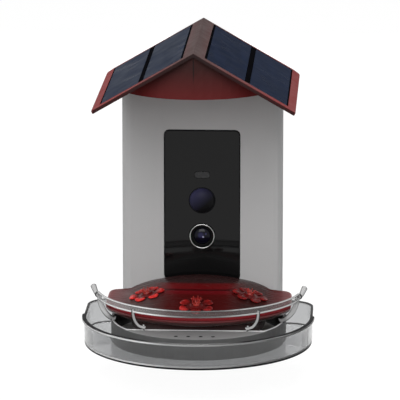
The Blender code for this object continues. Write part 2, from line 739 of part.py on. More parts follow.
def make_base(materials):
    block = d_outline(BASIN_RADIUS, BASIN_REAR, BASIN_CORNER)
    base = prism("feed_base", block, "z", BASIN_BOTTOM, BASIN_TOP, materials["grey"])
    ramp_top = NECK_FLOOR_TOP + RAMP_RISE
    foot = prism("hopper_foot", column_outline(COLUMN_WALL + GAP), "z", 0, ramp_top)
    rise = RAMP_RISE / (FOOT_REAR - FOOT_FRONT)
    start = NECK_FLOOR_TOP - rise * OVERRUN
    finish_z = ramp_top + rise * OVERRUN
    ramp = [(FOOT_FRONT - OVERRUN, start), (FOOT_REAR + OVERRUN, finish_z)]
    ramp += [(FOOT_REAR + OVERRUN, finish_z + OVERRUN), (FOOT_FRONT - OVERRUN, finish_z + OVERRUN)]
    ramp_space = prism("ramp_space", ramp, "x", -COLUMN_WIDTH, COLUMN_WIDTH)
    cut(foot, ramp_space)
    skin = FOOT_WALL * math.hypot(1, rise)
    front, rear = FOOT_FRONT + FOOT_WALL, FOOT_REAR - FOOT_WALL
    hollow = [(front, -OVERRUN), (rear, -OVERRUN)]
    hollow += [(rear, ramp_top - rise * FOOT_WALL - skin), (front, NECK_FLOOR_TOP + rise * FOOT_WALL - skin)]
    half_foot = COLUMN_WIDTH / 2 - COLUMN_WALL - GAP - FOOT_WALL
    cut(foot, prism("foot_hollow", hollow, "x", -half_foot, half_foot))
    half_neck = NECK_WIDTH / 2
    neck = rectangle((-half_neck, BASIN_REAR - BASIN_WALL / 2), (half_neck, FOOT_FRONT + FOOT_WALL / 2))
    add(base, prism("neck", neck, "z", NECK_BOTTOM, BASIN_TOP), foot)
    half_channel = half_neck - BASIN_WALL
    channel = rectangle(
        (-half_channel, BASIN_REAR - 2 * BASIN_WALL), (half_channel, FOOT_FRONT + FOOT_WALL)
    )
    cut(base, prism("neck_channel", channel, "z", NECK_FLOOR_TOP, BASIN_TOP + OVERRUN))
    cut(base, *make_basin_cutters())
    sizes = (BASE_SCREW_RADIUS, BASE_SCREW_HEAD, BASE_SCREW_HEAD_DEPTH, BASE_SCREW_LENGTH)
    pieces = [base]
    for side_name, x in base_screw_places().items():
        boss_end = (x, COLUMN_REAR - BASE_SCREW_LENGTH - FOOT_WALL, BASE_SCREW_Z)
        boss = rod(f"base_boss_{side_name}", BASE_BOSS_RADIUS, (x, FOOT_REAR - GAP, BASE_SCREW_Z), boss_end)
        hole_end = (x, COLUMN_REAR - BASE_SCREW_LENGTH - GAP, BASE_SCREW_Z)
        hole_start = (x, COLUMN_REAR, BASE_SCREW_Z)
        add(base, boss)
        cut(base, rod(f"base_boss_hole_{side_name}", BASE_SCREW_RADIUS + GAP, hole_start, hole_end))
        screw = turned(
            f"base_screw_{side_name}",
            screw_profile(*sizes),
            (x, COLUMN_REAR, BASE_SCREW_Z),
            (0, -1, 0),
            materials["steel"],
            SMALL_STEPS,
        )
        pieces.append(screw)
    return pieces


def hood_ring(z, inset):
    """The hood's plan at one height: a round front that turns into a creased gable towards the ridge."""
    share = min(max((z - HOOD_BOTTOM) / HOOD_RISE, 0), 1)
    radius = HOOD_RADIUS - inset
    apex = HOOD_CENTRE - HOOD_RADIUS - HOOD_APEX_REACH + inset
    points = []
    for step in range(ARC_STEPS + 1):
        x = -radius * math.cos(math.pi * step / ARC_STEPS)
        rounded = HOOD_CENTRE - math.sqrt(max(radius**2 - x**2, 0))
        creased = apex + HOOD_APEX_SLOPE * abs(x)
        points.append((x, rounded + (creased - rounded) * share, z))
    return points + [(radius, HOOD_REAR - inset, z), (-radius, HOOD_REAR - inset, z)]


def hood_screw_places():
    places = []
    for y in (-HOOD_BOSS_FRONT, HOOD_BOSS_REAR):
        places += [(-HOOD_BOSS_X, y), (HOOD_BOSS_X, y)]
    return places


def make_hood(materials, roof_space):
    levels = [HOOD_BOTTOM + HOOD_RISE * step / HOOD_LEVELS for step in range(HOOD_LEVELS + 1)]
    hood = loft("hood", [hood_ring(z, 0) for z in levels], materials["red"])
    inner = [HOOD_BOTTOM + HOOD_WALL] + levels[1:] + [RIDGE_TOP]
    cut(hood, roof_space, loft("hood_space", [hood_ring(z, HOOD_WALL) for z in inner]))
    web_start = HOOD_REAR - HOOD_WALL / 2
    outline = [(web_start, HINGE_Z + HINGE_BARREL), (web_start, HINGE_Z - HINGE_BARREL)]
    outline += arc((HINGE_Y, HINGE_Z), HINGE_BARREL, -math.pi / 2, math.pi / 2, TINY_STEPS)
    for side_name, side in (("left", -1), ("right", 1)):
        middle = side * HINGE_X
        ends = (middle - HINGE_KNUCKLE / 2, middle + HINGE_KNUCKLE / 2)
        add(hood, prism(f"hinge_knuckle_{side_name}", outline, "x", *ends))
        bore_ends = [(x, HINGE_Y, HINGE_Z) for x in (ends[0] - HINGE_KNUCKLE, ends[1] + HINGE_KNUCKLE)]
        cut(hood, rod(f"knuckle_bore_{side_name}", HINGE_PIN + GAP, *bore_ends))
    return hood


def slope_block(name, side, along, across, height, material=None):
    """A block on one roof slope: metres down from the ridge, along Y, and out from the slope's face."""
    cosine, sine = math.cos(ROOF_PITCH), math.sin(ROOF_PITCH)
    rings = []
    for y in across:
        ring = []
        for s, h in rectangle((along[0], height[0]), (along[1], height[1])):
            ring.append((side * (s * cosine + h * sine), y, RIDGE_TOP - s * sine + h * cosine))
        rings.append(ring)
    return loft(name, rings, material)


def round_outer_edges(item, keep_x, keep_z, width):
    """Bevels an object's edges, except those that lie on one line along Y."""
    mesh_data = bmesh.new()
    mesh_data.from_mesh(item.data)
    edges = []
    for edge in mesh_data.edges:
        middle = (edge.verts[0].co + edge.verts[1].co) / 2
        if abs(middle.x - keep_x) > width or abs(middle.z - keep_z) > width:
            edges.append(edge)
    bmesh.ops.bevel(mesh_data, geom=edges, offset=width, segments=BEND_STEPS, profile=0.5, affect="EDGES")
    mesh_data.to_mesh(item.data)
    mesh_data.free()


def make_roof_shell(materials):
    half = ROOF_WIDTH / 2
    drop = half * math.tan(ROOF_PITCH)
    in_x, in_z = ROOF_THICKNESS * math.sin(ROOF_PITCH), ROOF_THICKNESS * math.cos(ROOF_PITCH)
    right = [(half, RIDGE_TOP - drop), (half - in_x, RIDGE_TOP - drop - in_z)]
    left = [(-x, z) for x, z in right[::-1]]
    outline = [(0, RIDGE_TOP)] + right + [(0, RIDGE_UNDERSIDE)] + left
    shell = prism("roof_shell", outline, "y", -ROOF_FRONT_REACH, ROOF_REAR, materials["red"])
    round_outer_edges(shell, 0, RIDGE_UNDERSIDE, ROOF_EDGE)
    plan = []
    corners = (
        (1, ROOF_FRONT_CORNER, -ROOF_FRONT_REACH),
        (1, ROOF_REAR_CORNER, ROOF_REAR),
        (-1, ROOF_REAR_CORNER, ROOF_REAR),
        (-1, ROOF_FRONT_CORNER, -ROOF_FRONT_REACH),
    )
    for quarter, (side, corner, edge) in enumerate(corners):
        inward = 1 if edge < 0 else -1
        middle = (side * (half - corner), edge + inward * corner)
        start = (quarter - 1) * math.pi / 2
        plan += arc(middle, corner, start, start + math.pi / 2, CORNER_STEPS)
    eave = RIDGE_TOP - drop - in_z
    combine(shell, prism("roof_plan", plan, "z", eave - OVERRUN, RIDGE_TOP + OVERRUN), "INTERSECT")
    boss_top = underside(HOOD_BOSS_X - HOOD_BOSS_RADIUS) + GAP
    for number, (x, y) in enumerate(hood_screw_places(), 1):
        low = (x, y, HOOD_BOTTOM + HOOD_WALL + GAP)
        add(shell, rod(f"hood_boss_{number}", HOOD_BOSS_RADIUS, low, (x, y, boss_top)))
    along = (RIDGE_BAND, SLOPE_LENGTH - EAVE_MARGIN)
    across = (CELL_FRONT_MARGIN - ROOF_FRONT_REACH, ROOF_REAR - CELL_REAR_MARGIN)
    for side_name, side in (("left", -1), ("right", 1)):
        pocket = slope_block(f"solar_pocket_{side_name}", side, along, across, (-SOLAR_DEPTH, OVERRUN))
        cut(shell, pocket)
    return shell


def make_solar(materials):
    """The black frames in the roof's pockets, each with an inner and an outer cell."""
    pieces = []
    along = (RIDGE_BAND + GAP, SLOPE_LENGTH - EAVE_MARGIN - GAP)
    across = (CELL_FRONT_MARGIN - ROOF_FRONT_REACH + GAP, ROOF_REAR - CELL_REAR_MARGIN - GAP)
    cell_across = (across[0] + CELL_BORDER, across[1] - CELL_BORDER)
    inner = RIDGE_BAND + INNER_STRIP
    outer = inner + INNER_CELL + MIDDLE_STRIP
    cells = {"inner": (inner, inner + INNER_CELL), "outer": (outer, along[1] - CELL_BORDER)}
    for side_name, side in (("left", -1), ("right", 1)):
        frame = slope_block(
            f"solar_frame_{side_name}", side, along, across, (GAP - SOLAR_DEPTH, 0), materials["black"]
        )
        pieces.append(frame)
        for cell_name, (start, end) in cells.items():
            name = f"{side_name}_{cell_name}"
            deep = -SOLAR_CELL_THICKNESS - GAP
            pocket = slope_block(f"cell_pocket_{name}", side, (start, end), cell_across, (deep, OVERRUN))
            cut(frame, pocket)
            size = (start + GAP, end - GAP)
            place = (cell_across[0] + GAP, cell_across[1] - GAP)
            height = (-SOLAR_CELL_THICKNESS, 0)
            pieces.append(slope_block(f"solar_cell_{name}", side, size, place, height, materials["cell"]))
    return pieces


def make_hood_screws(materials, hood, shell):
    screws = []
    low = HOOD_BOTTOM - GAP - HOOD_SCREW_HEAD_DEPTH
    for number, (x, y) in enumerate(hood_screw_places(), 1):
        shank = HOOD_SCREW_HEAD_DEPTH + HOOD_SCREW_LENGTH
        profile = [
            (HOOD_SCREW_HEAD, 0),
            (HOOD_SCREW_HEAD, HOOD_SCREW_HEAD_DEPTH),
            (HOOD_SCREW_RADIUS, HOOD_SCREW_HEAD_DEPTH),
            (HOOD_SCREW_RADIUS, shank),
        ]
        place = (x, y, low)
        screw = turned(
            f"hood_screw_{number}", profile, place, (0, 0, 1), materials["steel"], SMALL_STEPS
        )
        screws.append(screw)
        hole = rod(
            f"hood_screw_hole_{number}", HOOD_SCREW_RADIUS + GAP, place, (x, y, low + shank + GAP)
        )
        cut(hood, hole)
        cut(shell, hole)
    return screws


def make_roof(materials, roof_space):
    hood = make_hood(materials, roof_space)
    shell = make_roof_shell(materials)
    pieces = [hood, shell] + make_solar(materials) + make_hood_screws(materials, hood, shell)
    carry(make_axis("roof_axis", (0, HINGE_Y, HINGE_Z)), pieces)


def make_camera_case(materials):
    outline = rounded_rectangle(CASE_WIDTH, CASE_HEIGHT, CASE_CORNER, PANEL_CENTRE)
    case = prism("camera_case", outline, "y", CASE_FRONT, CASE_REAR, materials["black"])
    inside = rounded_rectangle(
        CASE_WIDTH - 2 * CASE_WALL, CASE_HEIGHT - 2 * CASE_WALL, CASE_CORNER - CASE_WALL, PANEL_CENTRE
    )
    boss = rounded_rectangle(PORT_BOSS_WIDTH, PORT_BOSS_HEIGHT, PORT_BOSS_CORNER, (0, PORT_BOSS_Z))
    boss_inside = rounded_rectangle(
        PORT_BOSS_WIDTH - 2 * CASE_WALL,
        PORT_BOSS_HEIGHT - 2 * CASE_WALL,
        PORT_BOSS_CORNER - CASE_WALL,
        (0, PORT_BOSS_Z),
    )
    add(case, prism("port_boss", boss, "y", CASE_FLOOR + CASE_WALL / 2, PORT_FACE))
    cut(case, prism("case_space", inside, "y", CASE_FRONT - OVERRUN, CASE_FLOOR))
    cut(case, prism("port_space", boss_inside, "y", CASE_FLOOR - CASE_WALL, PORT_INNER))
    port_hole = rounded_rectangle(
        USB_WIDTH + 2 * GAP, USB_HEIGHT + 2 * GAP, USB_HEIGHT / 2, (-USB_OFFSET, PORT_BOSS_Z)
    )
    cut(case, prism("port_hole", port_hole, "y", PORT_INNER - GAP, PORT_FACE + OVERRUN))
    button_hole = [(BUTTON_OFFSET, y, PORT_BOSS_Z) for y in (PORT_INNER - GAP, PORT_FACE + OVERRUN)]
    cut(case, rod("button_hole", BUTTON_RADIUS + GAP, *button_hole, count=ROUND_STEPS))
    across = CASE_WIDTH / 2 - CASE_WALL - BOARD_MARGIN - BOARD_POST_INSET
    up = CASE_HEIGHT / 2 - CASE_WALL - BOARD_MARGIN - BOARD_POST_INSET
    for number, (sx, sz) in enumerate(((-1, -1), (1, -1), (-1, 1), (1, 1)), 1):
        x, z = sx * across, PANEL_CENTRE[1] + sz * up
        start, end = (x, CASE_FLOOR + CASE_WALL / 2, z), (x, BOARD_REAR + GAP, z)
        add(case, rod(f"board_post_{number}", BOARD_POST_RADIUS, start, end, count=TINY_STEPS))
    return case


def make_panel(materials):
    outline = rounded_rectangle(PANEL_WIDTH, PANEL_HEIGHT, PANEL_CORNER, PANEL_CENTRE)
    panel = prism("camera_panel", outline, "y", PANEL_FACE, COLUMN_INNER_FRONT, materials["gloss"])
    depth = (COLUMN_FRONT - OVERRUN, COLUMN_INNER_FRONT + OVERRUN)
    lens_ends = [(0, y, LENS_Z) for y in depth]
    pir_ends = [(0, y, PIR_Z) for y in depth]
    cut(panel, rod("lens_hole", LENS_RING_RADIUS + GAP, *lens_ends, count=ROUND_STEPS))
    cut(panel, rod("pir_hole", PIR_RADIUS + GAP, *pir_ends, count=ROUND_STEPS))
    window = rounded_rectangle(
        WINDOW_WIDTH + 2 * GAP, WINDOW_HEIGHT + 2 * GAP, WINDOW_HEIGHT / 2, (0, WINDOW_Z)
    )
    cut(panel, prism("window_hole", window, "y", *depth))
    case_outline = rounded_rectangle(CASE_WIDTH, CASE_HEIGHT, CASE_CORNER, PANEL_CENTRE)
    gasket_y = COLUMN_INNER_FRONT + GAP
    gasket = prism(
        "panel_gasket", case_outline, "y", gasket_y, gasket_y + GASKET_THICKNESS, materials["rubber"]
    )
    middle = rounded_rectangle(
        PANEL_WIDTH - 2 * GASKET_BAND, PANEL_HEIGHT - 2 * GASKET_BAND, PANEL_CORNER / 2, PANEL_CENTRE
    )
    cut(gasket, prism("gasket_middle", middle, "y", *depth))
    return [panel, gasket]


def make_window(materials):
    pane = rounded_rectangle(WINDOW_WIDTH, WINDOW_HEIGHT, WINDOW_HEIGHT / 2 - GAP, (0, WINDOW_Z))
    window = prism(
        "ir_window", pane, "y", PANEL_FACE + GAP, COLUMN_INNER_FRONT + 2 * GAP, materials["gloss"]
    )
    flange = rounded_rectangle(
        WINDOW_WIDTH + 2 * WINDOW_FLANGE, WINDOW_HEIGHT + 2 * WINDOW_FLANGE, WINDOW_HEIGHT / 2, (0, WINDOW_Z)
    )
    start = COLUMN_INNER_FRONT + GAP
    add(window, prism("window_flange", flange, "y", start, start + GASKET_THICKNESS))
    return window


def make_pir(materials):
    """The motion sensor's dome with its flange behind the panel, and the can on the board."""
    flange_back = COLUMN_INNER_FRONT + GAP + PIR_WALL
    neck = flange_back - PANEL_FACE
    inner = PIR_RADIUS - PIR_WALL
    outside = []
    inside = []
    for step in range(1, PIR_STEPS + 1):
        turn = math.pi / 2 * step / (PIR_STEPS + 1)
        outside.append((PIR_RADIUS * math.cos(turn), neck + PIR_RISE * math.sin(turn)))
        inside.append((inner * math.cos(turn), neck + (PIR_RISE - PIR_WALL) * math.sin(turn)))
    profile = inside[::-1] + [(inner, neck), (inner, 0), (PIR_RADIUS + PIR_FLANGE, 0)]
    profile += [(PIR_RADIUS + PIR_FLANGE, PIR_WALL), (PIR_RADIUS, PIR_WALL), (PIR_RADIUS, neck)] + outside
    dome = turned("pir_dome", profile, (0, flange_back, PIR_Z), (0, -1, 0), materials["gloss"])
    can_rear = BOARD_Y - GAP
    can_front = (0, can_rear - PIR_CAN_HEIGHT, PIR_Z)
    can = rod("pir_sensor", PIR_CAN_RADIUS, (0, can_rear, PIR_Z), can_front, materials["steel"])
    return [dome, can]


def make_lens(materials):
    """The bright ring, the stepped barrel, its front lens and the image sensor on the board."""
    front = PANEL_FACE - LENS_RING_PROUD
    inner = LENS_RING_RADIUS - LENS_RING_WIDTH
    ring_profile = [
        (LENS_RING_RADIUS, 0),
        (LENS_RING_RADIUS, -LENS_RING_DEPTH),
        (inner, -LENS_RING_DEPTH),
        (inner, 0),
    ]
    centre = (0, front, LENS_Z)
    ring = turned("lens_ring", ring_profile, centre, (0, -1, 0), materials["chrome"], closed=True)
    barrel_front = front + LENS_RING_PROUD
    sensor_front = BOARD_Y - GAP - SENSOR_THICKNESS
    length = sensor_front - GAP - barrel_front
    barrel_radius = min(LENS_BARREL_RADIUS, inner - GAP)
    barrel_profile = [
        (barrel_radius, -length),
        (barrel_radius, 0),
        (LENS_MOUTH_RADIUS, 0),
        (LENS_MOUTH_RADIUS, -LENS_STEP_DEPTH),
        (LENS_STEP_RADIUS, -LENS_STEP_DEPTH),
        (LENS_STEP_RADIUS, -2 * LENS_STEP_DEPTH),
        (LENS_SEAT_RADIUS, -2 * LENS_STEP_DEPTH),
        (LENS_SEAT_RADIUS, -4 * LENS_STEP_DEPTH),
    ]
    barrel = turned(
        "lens_barrel", barrel_profile, (0, barrel_front, LENS_Z), (0, -1, 0), materials["black"]
    )
    glass_radius = LENS_SEAT_RADIUS - GAP
    glass_profile = [(glass_radius, -4 * LENS_STEP_DEPTH + GAP), (glass_radius, -2 * LENS_STEP_DEPTH)]
    for step in range(1, PIR_STEPS):
        turn = math.pi / 2 * step / PIR_STEPS
        rise = LENS_GLASS_DOME * math.sin(turn) - 2 * LENS_STEP_DEPTH
        glass_profile.append((glass_radius * math.cos(turn), rise))
    glass = turned(
        "lens_glass", glass_profile, (0, barrel_front, LENS_Z), (0, -1, 0), materials["glass"]
    )
    half = SENSOR_SIZE / 2
    outline = rectangle((-half, LENS_Z - half), (half, LENS_Z + half))
    sensor = prism("image_sensor", outline, "y", sensor_front, BOARD_Y - GAP, materials["black"])
    return [ring, barrel, glass, sensor]


def make_electronics(materials):
    board_outline = rounded_rectangle(
        CASE_WIDTH - 2 * (CASE_WALL + BOARD_MARGIN),
        CASE_HEIGHT - 2 * (CASE_WALL + BOARD_MARGIN),
        CASE_CORNER - CASE_WALL - BOARD_MARGIN,
        PANEL_CENTRE,
    )
    board = prism("main_board", board_outline, "y", BOARD_Y, BOARD_REAR, materials["board"])
    battery_outline = rectangle(
        (-BATTERY_WIDTH / 2, BATTERY_BOTTOM), (BATTERY_WIDTH / 2, BATTERY_BOTTOM + BATTERY_HEIGHT)
    )
    battery_ends = (BOARD_REAR + BATTERY_CLEARANCE, CASE_FLOOR - GAP)
    battery = prism("battery", battery_outline, "y", *battery_ends, materials["battery"])
    port_outline = rounded_rectangle(
        PORT_BOARD_WIDTH, PORT_BOARD_HEIGHT, PORT_BOSS_CORNER / 2, (0, PORT_BOSS_Z)
    )
    port_front = PORT_BOARD_REAR - PORT_BOARD_THICKNESS
    port_board = prism("port_board", port_outline, "y", port_front, PORT_BOARD_REAR, materials["board"])
    usb_outline = rounded_rectangle(
        USB_WIDTH, USB_HEIGHT, USB_HEIGHT / 2 - GAP, (-USB_OFFSET, PORT_BOSS_Z)
    )
    usb_start = PORT_BOARD_REAR + GAP
    usb = prism("usb_socket", usb_outline, "y", usb_start, PORT_FACE - GAP, materials["steel"])
    usb_inside = rounded_rectangle(
        USB_WIDTH - 2 * USB_WALL, USB_HEIGHT - 2 * USB_WALL, USB_HEIGHT / 2 - GAP - USB_WALL,
        (-USB_OFFSET, PORT_BOSS_Z),
    )
    cut(usb, prism("usb_mouth", usb_inside, "y", usb_start + PORT_BOARD_THICKNESS, PORT_FACE + OVERRUN))
    half = SWITCH_SIZE / 2
    switch_outline = rectangle(
        (BUTTON_OFFSET - half, PORT_BOSS_Z - half), (BUTTON_OFFSET + half, PORT_BOSS_Z + half)
    )
    switch = prism(
        "power_switch", switch_outline, "y", usb_start, usb_start + SWITCH_DEPTH, materials["black"]
    )
    return [board, battery, port_board, usb, switch]


def make_button(materials):
    """The power button: a round cap whose collar keeps it behind the wall, 1 mm above its switch."""
    stem = PORT_BOARD_REAR + GAP + SWITCH_DEPTH + GAP + BUTTON_TRAVEL
    collar = PORT_INNER - GAP
    face = PORT_FACE + BUTTON_PROUD
    profile = [
        (BUTTON_RADIUS + BUTTON_COLLAR, stem),
        (BUTTON_RADIUS + BUTTON_COLLAR, collar),
        (BUTTON_RADIUS, collar),
        (BUTTON_RADIUS, face - GAP),
        (BUTTON_RADIUS - GAP, face),
    ]
    middle = (BUTTON_OFFSET, 0, PORT_BOSS_Z)
    button = turned("power_button", profile, middle, (0, 1, 0), materials["rubber"], SMALL_STEPS)
    set_origin(button, (BUTTON_OFFSET, face, PORT_BOSS_Z))
    return button


def make_flap(materials):
    """The rubber flap over the charging port, hinged along its lower edge."""
    low = PORT_BOSS_Z - FLAP_HEIGHT / 2
    outline = rounded_rectangle(FLAP_WIDTH, FLAP_HEIGHT, FLAP_CORNER, (-USB_OFFSET, PORT_BOSS_Z))
    start = PORT_FACE + GAP
    flap = prism("port_cover", outline, "y", start, start + FLAP_THICKNESS, materials["rubber"])
    set_origin(flap, (-USB_OFFSET, start + FLAP_THICKNESS, low))
    return flap


def feeder_plan():
    """The nectar feeder's outline: a curved front, two short ears and a round rear cut flat at the column."""
    half_angle = math.asin(FEEDER_HALF_WIDTH / FEEDER_ARC_RADIUS)
    front = arc(
        (0, FEEDER_ARC_CENTRE),
        FEEDER_ARC_RADIUS,
        -math.pi / 2 - half_angle,
        -math.pi / 2 + half_angle,
        FEEDER_FRONT_STEPS,
    )
    bend = (FEEDER_HALF_WIDTH - EAR_CORNER, EAR_REAR - EAR_CORNER)
    ear = arc(bend, EAR_CORNER, 0, math.pi / 2, CORNER_STEPS)
    first = math.asin((EAR_REAR - SHOULDER_CENTRE) / SHOULDER_RADIUS)
    last = math.asin((FEEDER_REAR - SHOULDER_CENTRE) / SHOULDER_RADIUS)
    shoulder = arc((0, SHOULDER_CENTRE), SHOULDER_RADIUS, first, last, CORNER_STEPS)
    right = ear + shoulder
    flat_half = SHOULDER_RADIUS * math.cos(last)
    flat = []
    for step in range(1, FEEDER_REAR_STEPS):
        flat.append((flat_half * (1 - 2 * step / FEEDER_REAR_STEPS), FEEDER_REAR))
    left = [(-x, y) for x, y in right[::-1]]
    return front + right + flat + left


def dome_depth(y):
    return DOME_REAR_DEPTH if y > DOME_CENTRE else DOME_FRONT_DEPTH


def dome_share(x, y):
    """How far a point of the plan lies from the dome's top, as a share of the way to the dome's foot."""
    return math.hypot(x / DOME_HALF_WIDTH, (y - DOME_CENTRE) / dome_depth(y))


def dome_height(x, y):
    """The height of the cover's top face over a point of the plan."""
    return COVER_TOP + DOME_RISE * (1 - min(dome_share(x, y), 1) ** DOME_POWER)


def plan_ring(scale, height):
    """The feeder's outline drawn towards its centre, at a height or at a drop below the dome."""
    ring = []
    for x, y in feeder_plan():
        px, py = x * scale, DOME_CENTRE + (y - DOME_CENTRE) * scale
        ring.append((px, py, height(px, py)))
    return ring


def well_ring(scale, z):
    """An oval ring of the bowl's well, with a point for each point of the feeder's outline."""
    ring = []
    for x, y in feeder_plan():
        turn = math.atan2((y - DOME_CENTRE) / WELL_HALF_DEPTH, x / WELL_HALF_WIDTH)
        across = WELL_HALF_WIDTH * scale * math.cos(turn)
        ring.append((across, WELL_CENTRE + WELL_HALF_DEPTH * scale * math.sin(turn), z))
    return ring


def make_cover(materials):
    low = BOWL_RIM + GAP
    inside = []
    for share in COVER_INSIDE_SHARES:
        inside.append(plan_ring(share, lambda x, y: dome_height(x, y) - FEEDER_SHELL))
    inside = inside[::-1]
    inside.append(plan_ring(COVER_INNER_SHARE, lambda x, y: low + COVER_EDGE_HEIGHT / 2))
    inside.append(plan_ring(COVER_INNER_SHARE, lambda x, y: low))
    outside = [
        plan_ring(1, lambda x, y: low),
        plan_ring(1, lambda x, y: dome_height(x, y) - COVER_EDGE_HEIGHT),
        plan_ring(COVER_EDGE_SHARE, lambda x, y: dome_height(x, y) - COVER_EDGE_HEIGHT / 3),
    ]
    for share in COVER_RING_SHARES:
        outside.append(plan_ring(share, dome_height))
    return loft("feeder_cover", inside + outside, materials["nectar"])


def make_bowl(materials):
    """The nectar bowl: a flat hull over the basin with an oval well that stands on four feet."""
    rise = BOWL_RIM - BOWL_UNDERSIDE
    rings = []
    for scale, share in WELL_SHARES:
        rings.append(well_ring(scale, WELL_BOTTOM + share * (BOWL_UNDERSIDE - FEEDER_SHELL - WELL_BOTTOM)))
    for scale, share in HULL_SHARES:
        rings.append(plan_ring(scale, lambda x, y, z=BOWL_UNDERSIDE + share * rise: z))
    for scale, share in HULL_INNER_SHARES:
        rings.append(plan_ring(scale, lambda x, y, z=BOWL_UNDERSIDE + share * rise: z))
    for scale, share in WELL_SHARES[::-1]:
        z = WELL_BOTTOM + FEEDER_SHELL + share * (BOWL_UNDERSIDE - FEEDER_SHELL - WELL_BOTTOM)
        rings.append(well_ring(scale - FEEDER_SHELL / WELL_HALF_DEPTH, z))
    bowl = loft("nectar_bowl", rings, materials["nectar"])
    foot_low = BASIN_BOTTOM + BASIN_FLOOR + GAP
    foot_high = WELL_BOTTOM + FEEDER_SHELL / 2
    for number, (side_x, side_y) in enumerate(((-1, -1), (1, -1), (-1, 1), (1, 1)), 1):
        x, y = side_x * BOWL_FOOT_X, WELL_CENTRE + side_y * BOWL_FOOT_Y
        add(bowl, rod(f"bowl_foot_{number}", BOWL_FOOT_RADIUS, (x, y, foot_low), (x, y, foot_high)))
    return bowl


def make_seal(materials):
    top = BOWL_RIM
    low = top - SEAL_HEIGHT
    inner, outer = SEAL_SHARES
    rings = []
    for scale, z in ((outer, low), (outer, top), (inner, top), (inner, low)):
        rings.append(plan_ring(scale, lambda x, y, z=z: z))
    return loft("bowl_seal", rings, materials["rubber"], closed=True)


def flower_places():
    return {
        "left": (-FLOWER_X, FLOWER_SIDE_Y),
        "front": (0, FLOWER_FRONT_Y),
        "right": (FLOWER_X, FLOWER_SIDE_Y),
    }


def flower_axis(x, y):
    """A point on the dome and the direction that stands square to it."""
    slope = DOME_RISE * DOME_POWER * dome_share(x, y) ** (DOME_POWER - 2)
    lean_x = slope * x / DOME_HALF_WIDTH**2
    lean_y = slope * (y - DOME_CENTRE) / dome_depth(y) ** 2
    return Vector((x, y, dome_height(x, y))), Vector((lean_x, lean_y, 1)).normalized()


def on_axis(item, point, direction):
    item.location = point
    item.rotation_euler = direction.to_track_quat("Z", "Y").to_euler()


def make_petal(name, angle):
    """One rounded petal: a flattened ball beside the flower's middle."""
    mesh_data = bmesh.new()
    bmesh.ops.create_uvsphere(mesh_data, u_segments=PETAL_SEGMENTS, v_segments=PETAL_RINGS, radius=1)
    reach = FLOWER_RADIUS - PETAL_RADIUS
    for vertex in mesh_data.verts:
        vertex.co.x = vertex.co.x * PETAL_RADIUS + reach * math.cos(angle)
        vertex.co.y = vertex.co.y * PETAL_RADIUS + reach * math.sin(angle)
        vertex.co.z = (vertex.co.z + 1) * PETAL_HEIGHT / 2
    return finish(name, mesh_data, None)


def make_flower(side_name, place, materials, cover):
    point, direction = flower_axis(*place)
    start = point + direction * GAP
    base_profile = [(FLOWER_BASE, 0), (FLOWER_BASE, FLOWER_BASE_HEIGHT)]
    flower = turned(f"flower_{side_name}", base_profile, (0, 0, 0), (0, 0, 1), materials["flower"])
    on_axis(flower, start, direction)
    tools = []
    for number in range(PETAL_COUNT):
        angle = 2 * math.pi * (number + PETAL_TURN_SHARE) / PETAL_COUNT
        tools.append(make_petal(f"petal_{side_name}_{number + 1}", angle))
    tube_ends = [(0, 0, -FLOWER_TUBE_DROP), (0, 0, FLOWER_BASE_HEIGHT / 2)]
    tools.append(rod(f"flower_tube_{side_name}", FLOWER_TUBE, *tube_ends))
    bore = rod(f"flower_bore_{side_name}", FLOWER_BORE, (0, 0, -OVERRUN), (0, 0, OVERRUN))
    for tool in tools + [bore]:
        on_axis(tool, start, direction)
    add(flower, *tools)
    cut(flower, bore)
    hole_ends = (point - direction * OVERRUN / 2, point + direction * OVERRUN)
    cut(cover, rod(f"flower_hole_{side_name}", FLOWER_TUBE + GAP, *hole_ends))
    return [flower, make_guard(side_name, start, direction, materials)]


def make_guard(side_name, start, direction, materials):
    """The bee guard in a flower's bore: a ring with a crown of stamens that lean outwards."""
    ring_profile = [
        (GUARD_RADIUS, -GUARD_HEIGHT),
        (GUARD_RADIUS, FLOWER_BASE_HEIGHT + GUARD_PROUD),
        (GUARD_BORE, FLOWER_BASE_HEIGHT + GUARD_PROUD),
        (GUARD_BORE, -GUARD_HEIGHT),
    ]
    guard = turned(
        f"bee_guard_{side_name}", ring_profile, (0, 0, 0), (0, 0, 1), materials["guard"], SMALL_STEPS, True
    )
    on_axis(guard, start, direction)
    middle = (GUARD_RADIUS + GUARD_BORE) / 2
    for number in range(STAMEN_COUNT):
        angle = 2 * math.pi * (number + STAMEN_TURN_SHARE) / STAMEN_COUNT
        outward = Vector((math.cos(angle), math.sin(angle), 0))
        root = outward * middle + Vector((0, 0, FLOWER_BASE_HEIGHT + GUARD_PROUD / 2))
        lean = Vector((0, 0, 1)) + outward * STAMEN_LEAN
        profile = [(STAMEN_ROOT, 0), (STAMEN_TIP, STAMEN_LENGTH)]
        stamen = turned(f"stamen_{side_name}_{number + 1}", profile, root, lean, count=TINY_STEPS // 2)
        on_axis(stamen, start, direction)
        add(guard, stamen)
    return guard


def make_nectar_feeder(materials):
    bowl = make_bowl(materials)
    seal = make_seal(materials)
    cover = make_cover(materials)
    pieces = [cover]
    for side_name, place in flower_places().items():
        pieces += make_flower(side_name, place, materials, cover)
    feeder_axis = make_axis("feeder_axis", (0, DOME_CENTRE, BOWL_RIM))
    cover_axis = make_axis("cover_axis", (0, DOME_CENTRE, BOWL_RIM))
    carry(cover_axis, pieces)
    carry(feeder_axis, [bowl, seal, cover_axis])


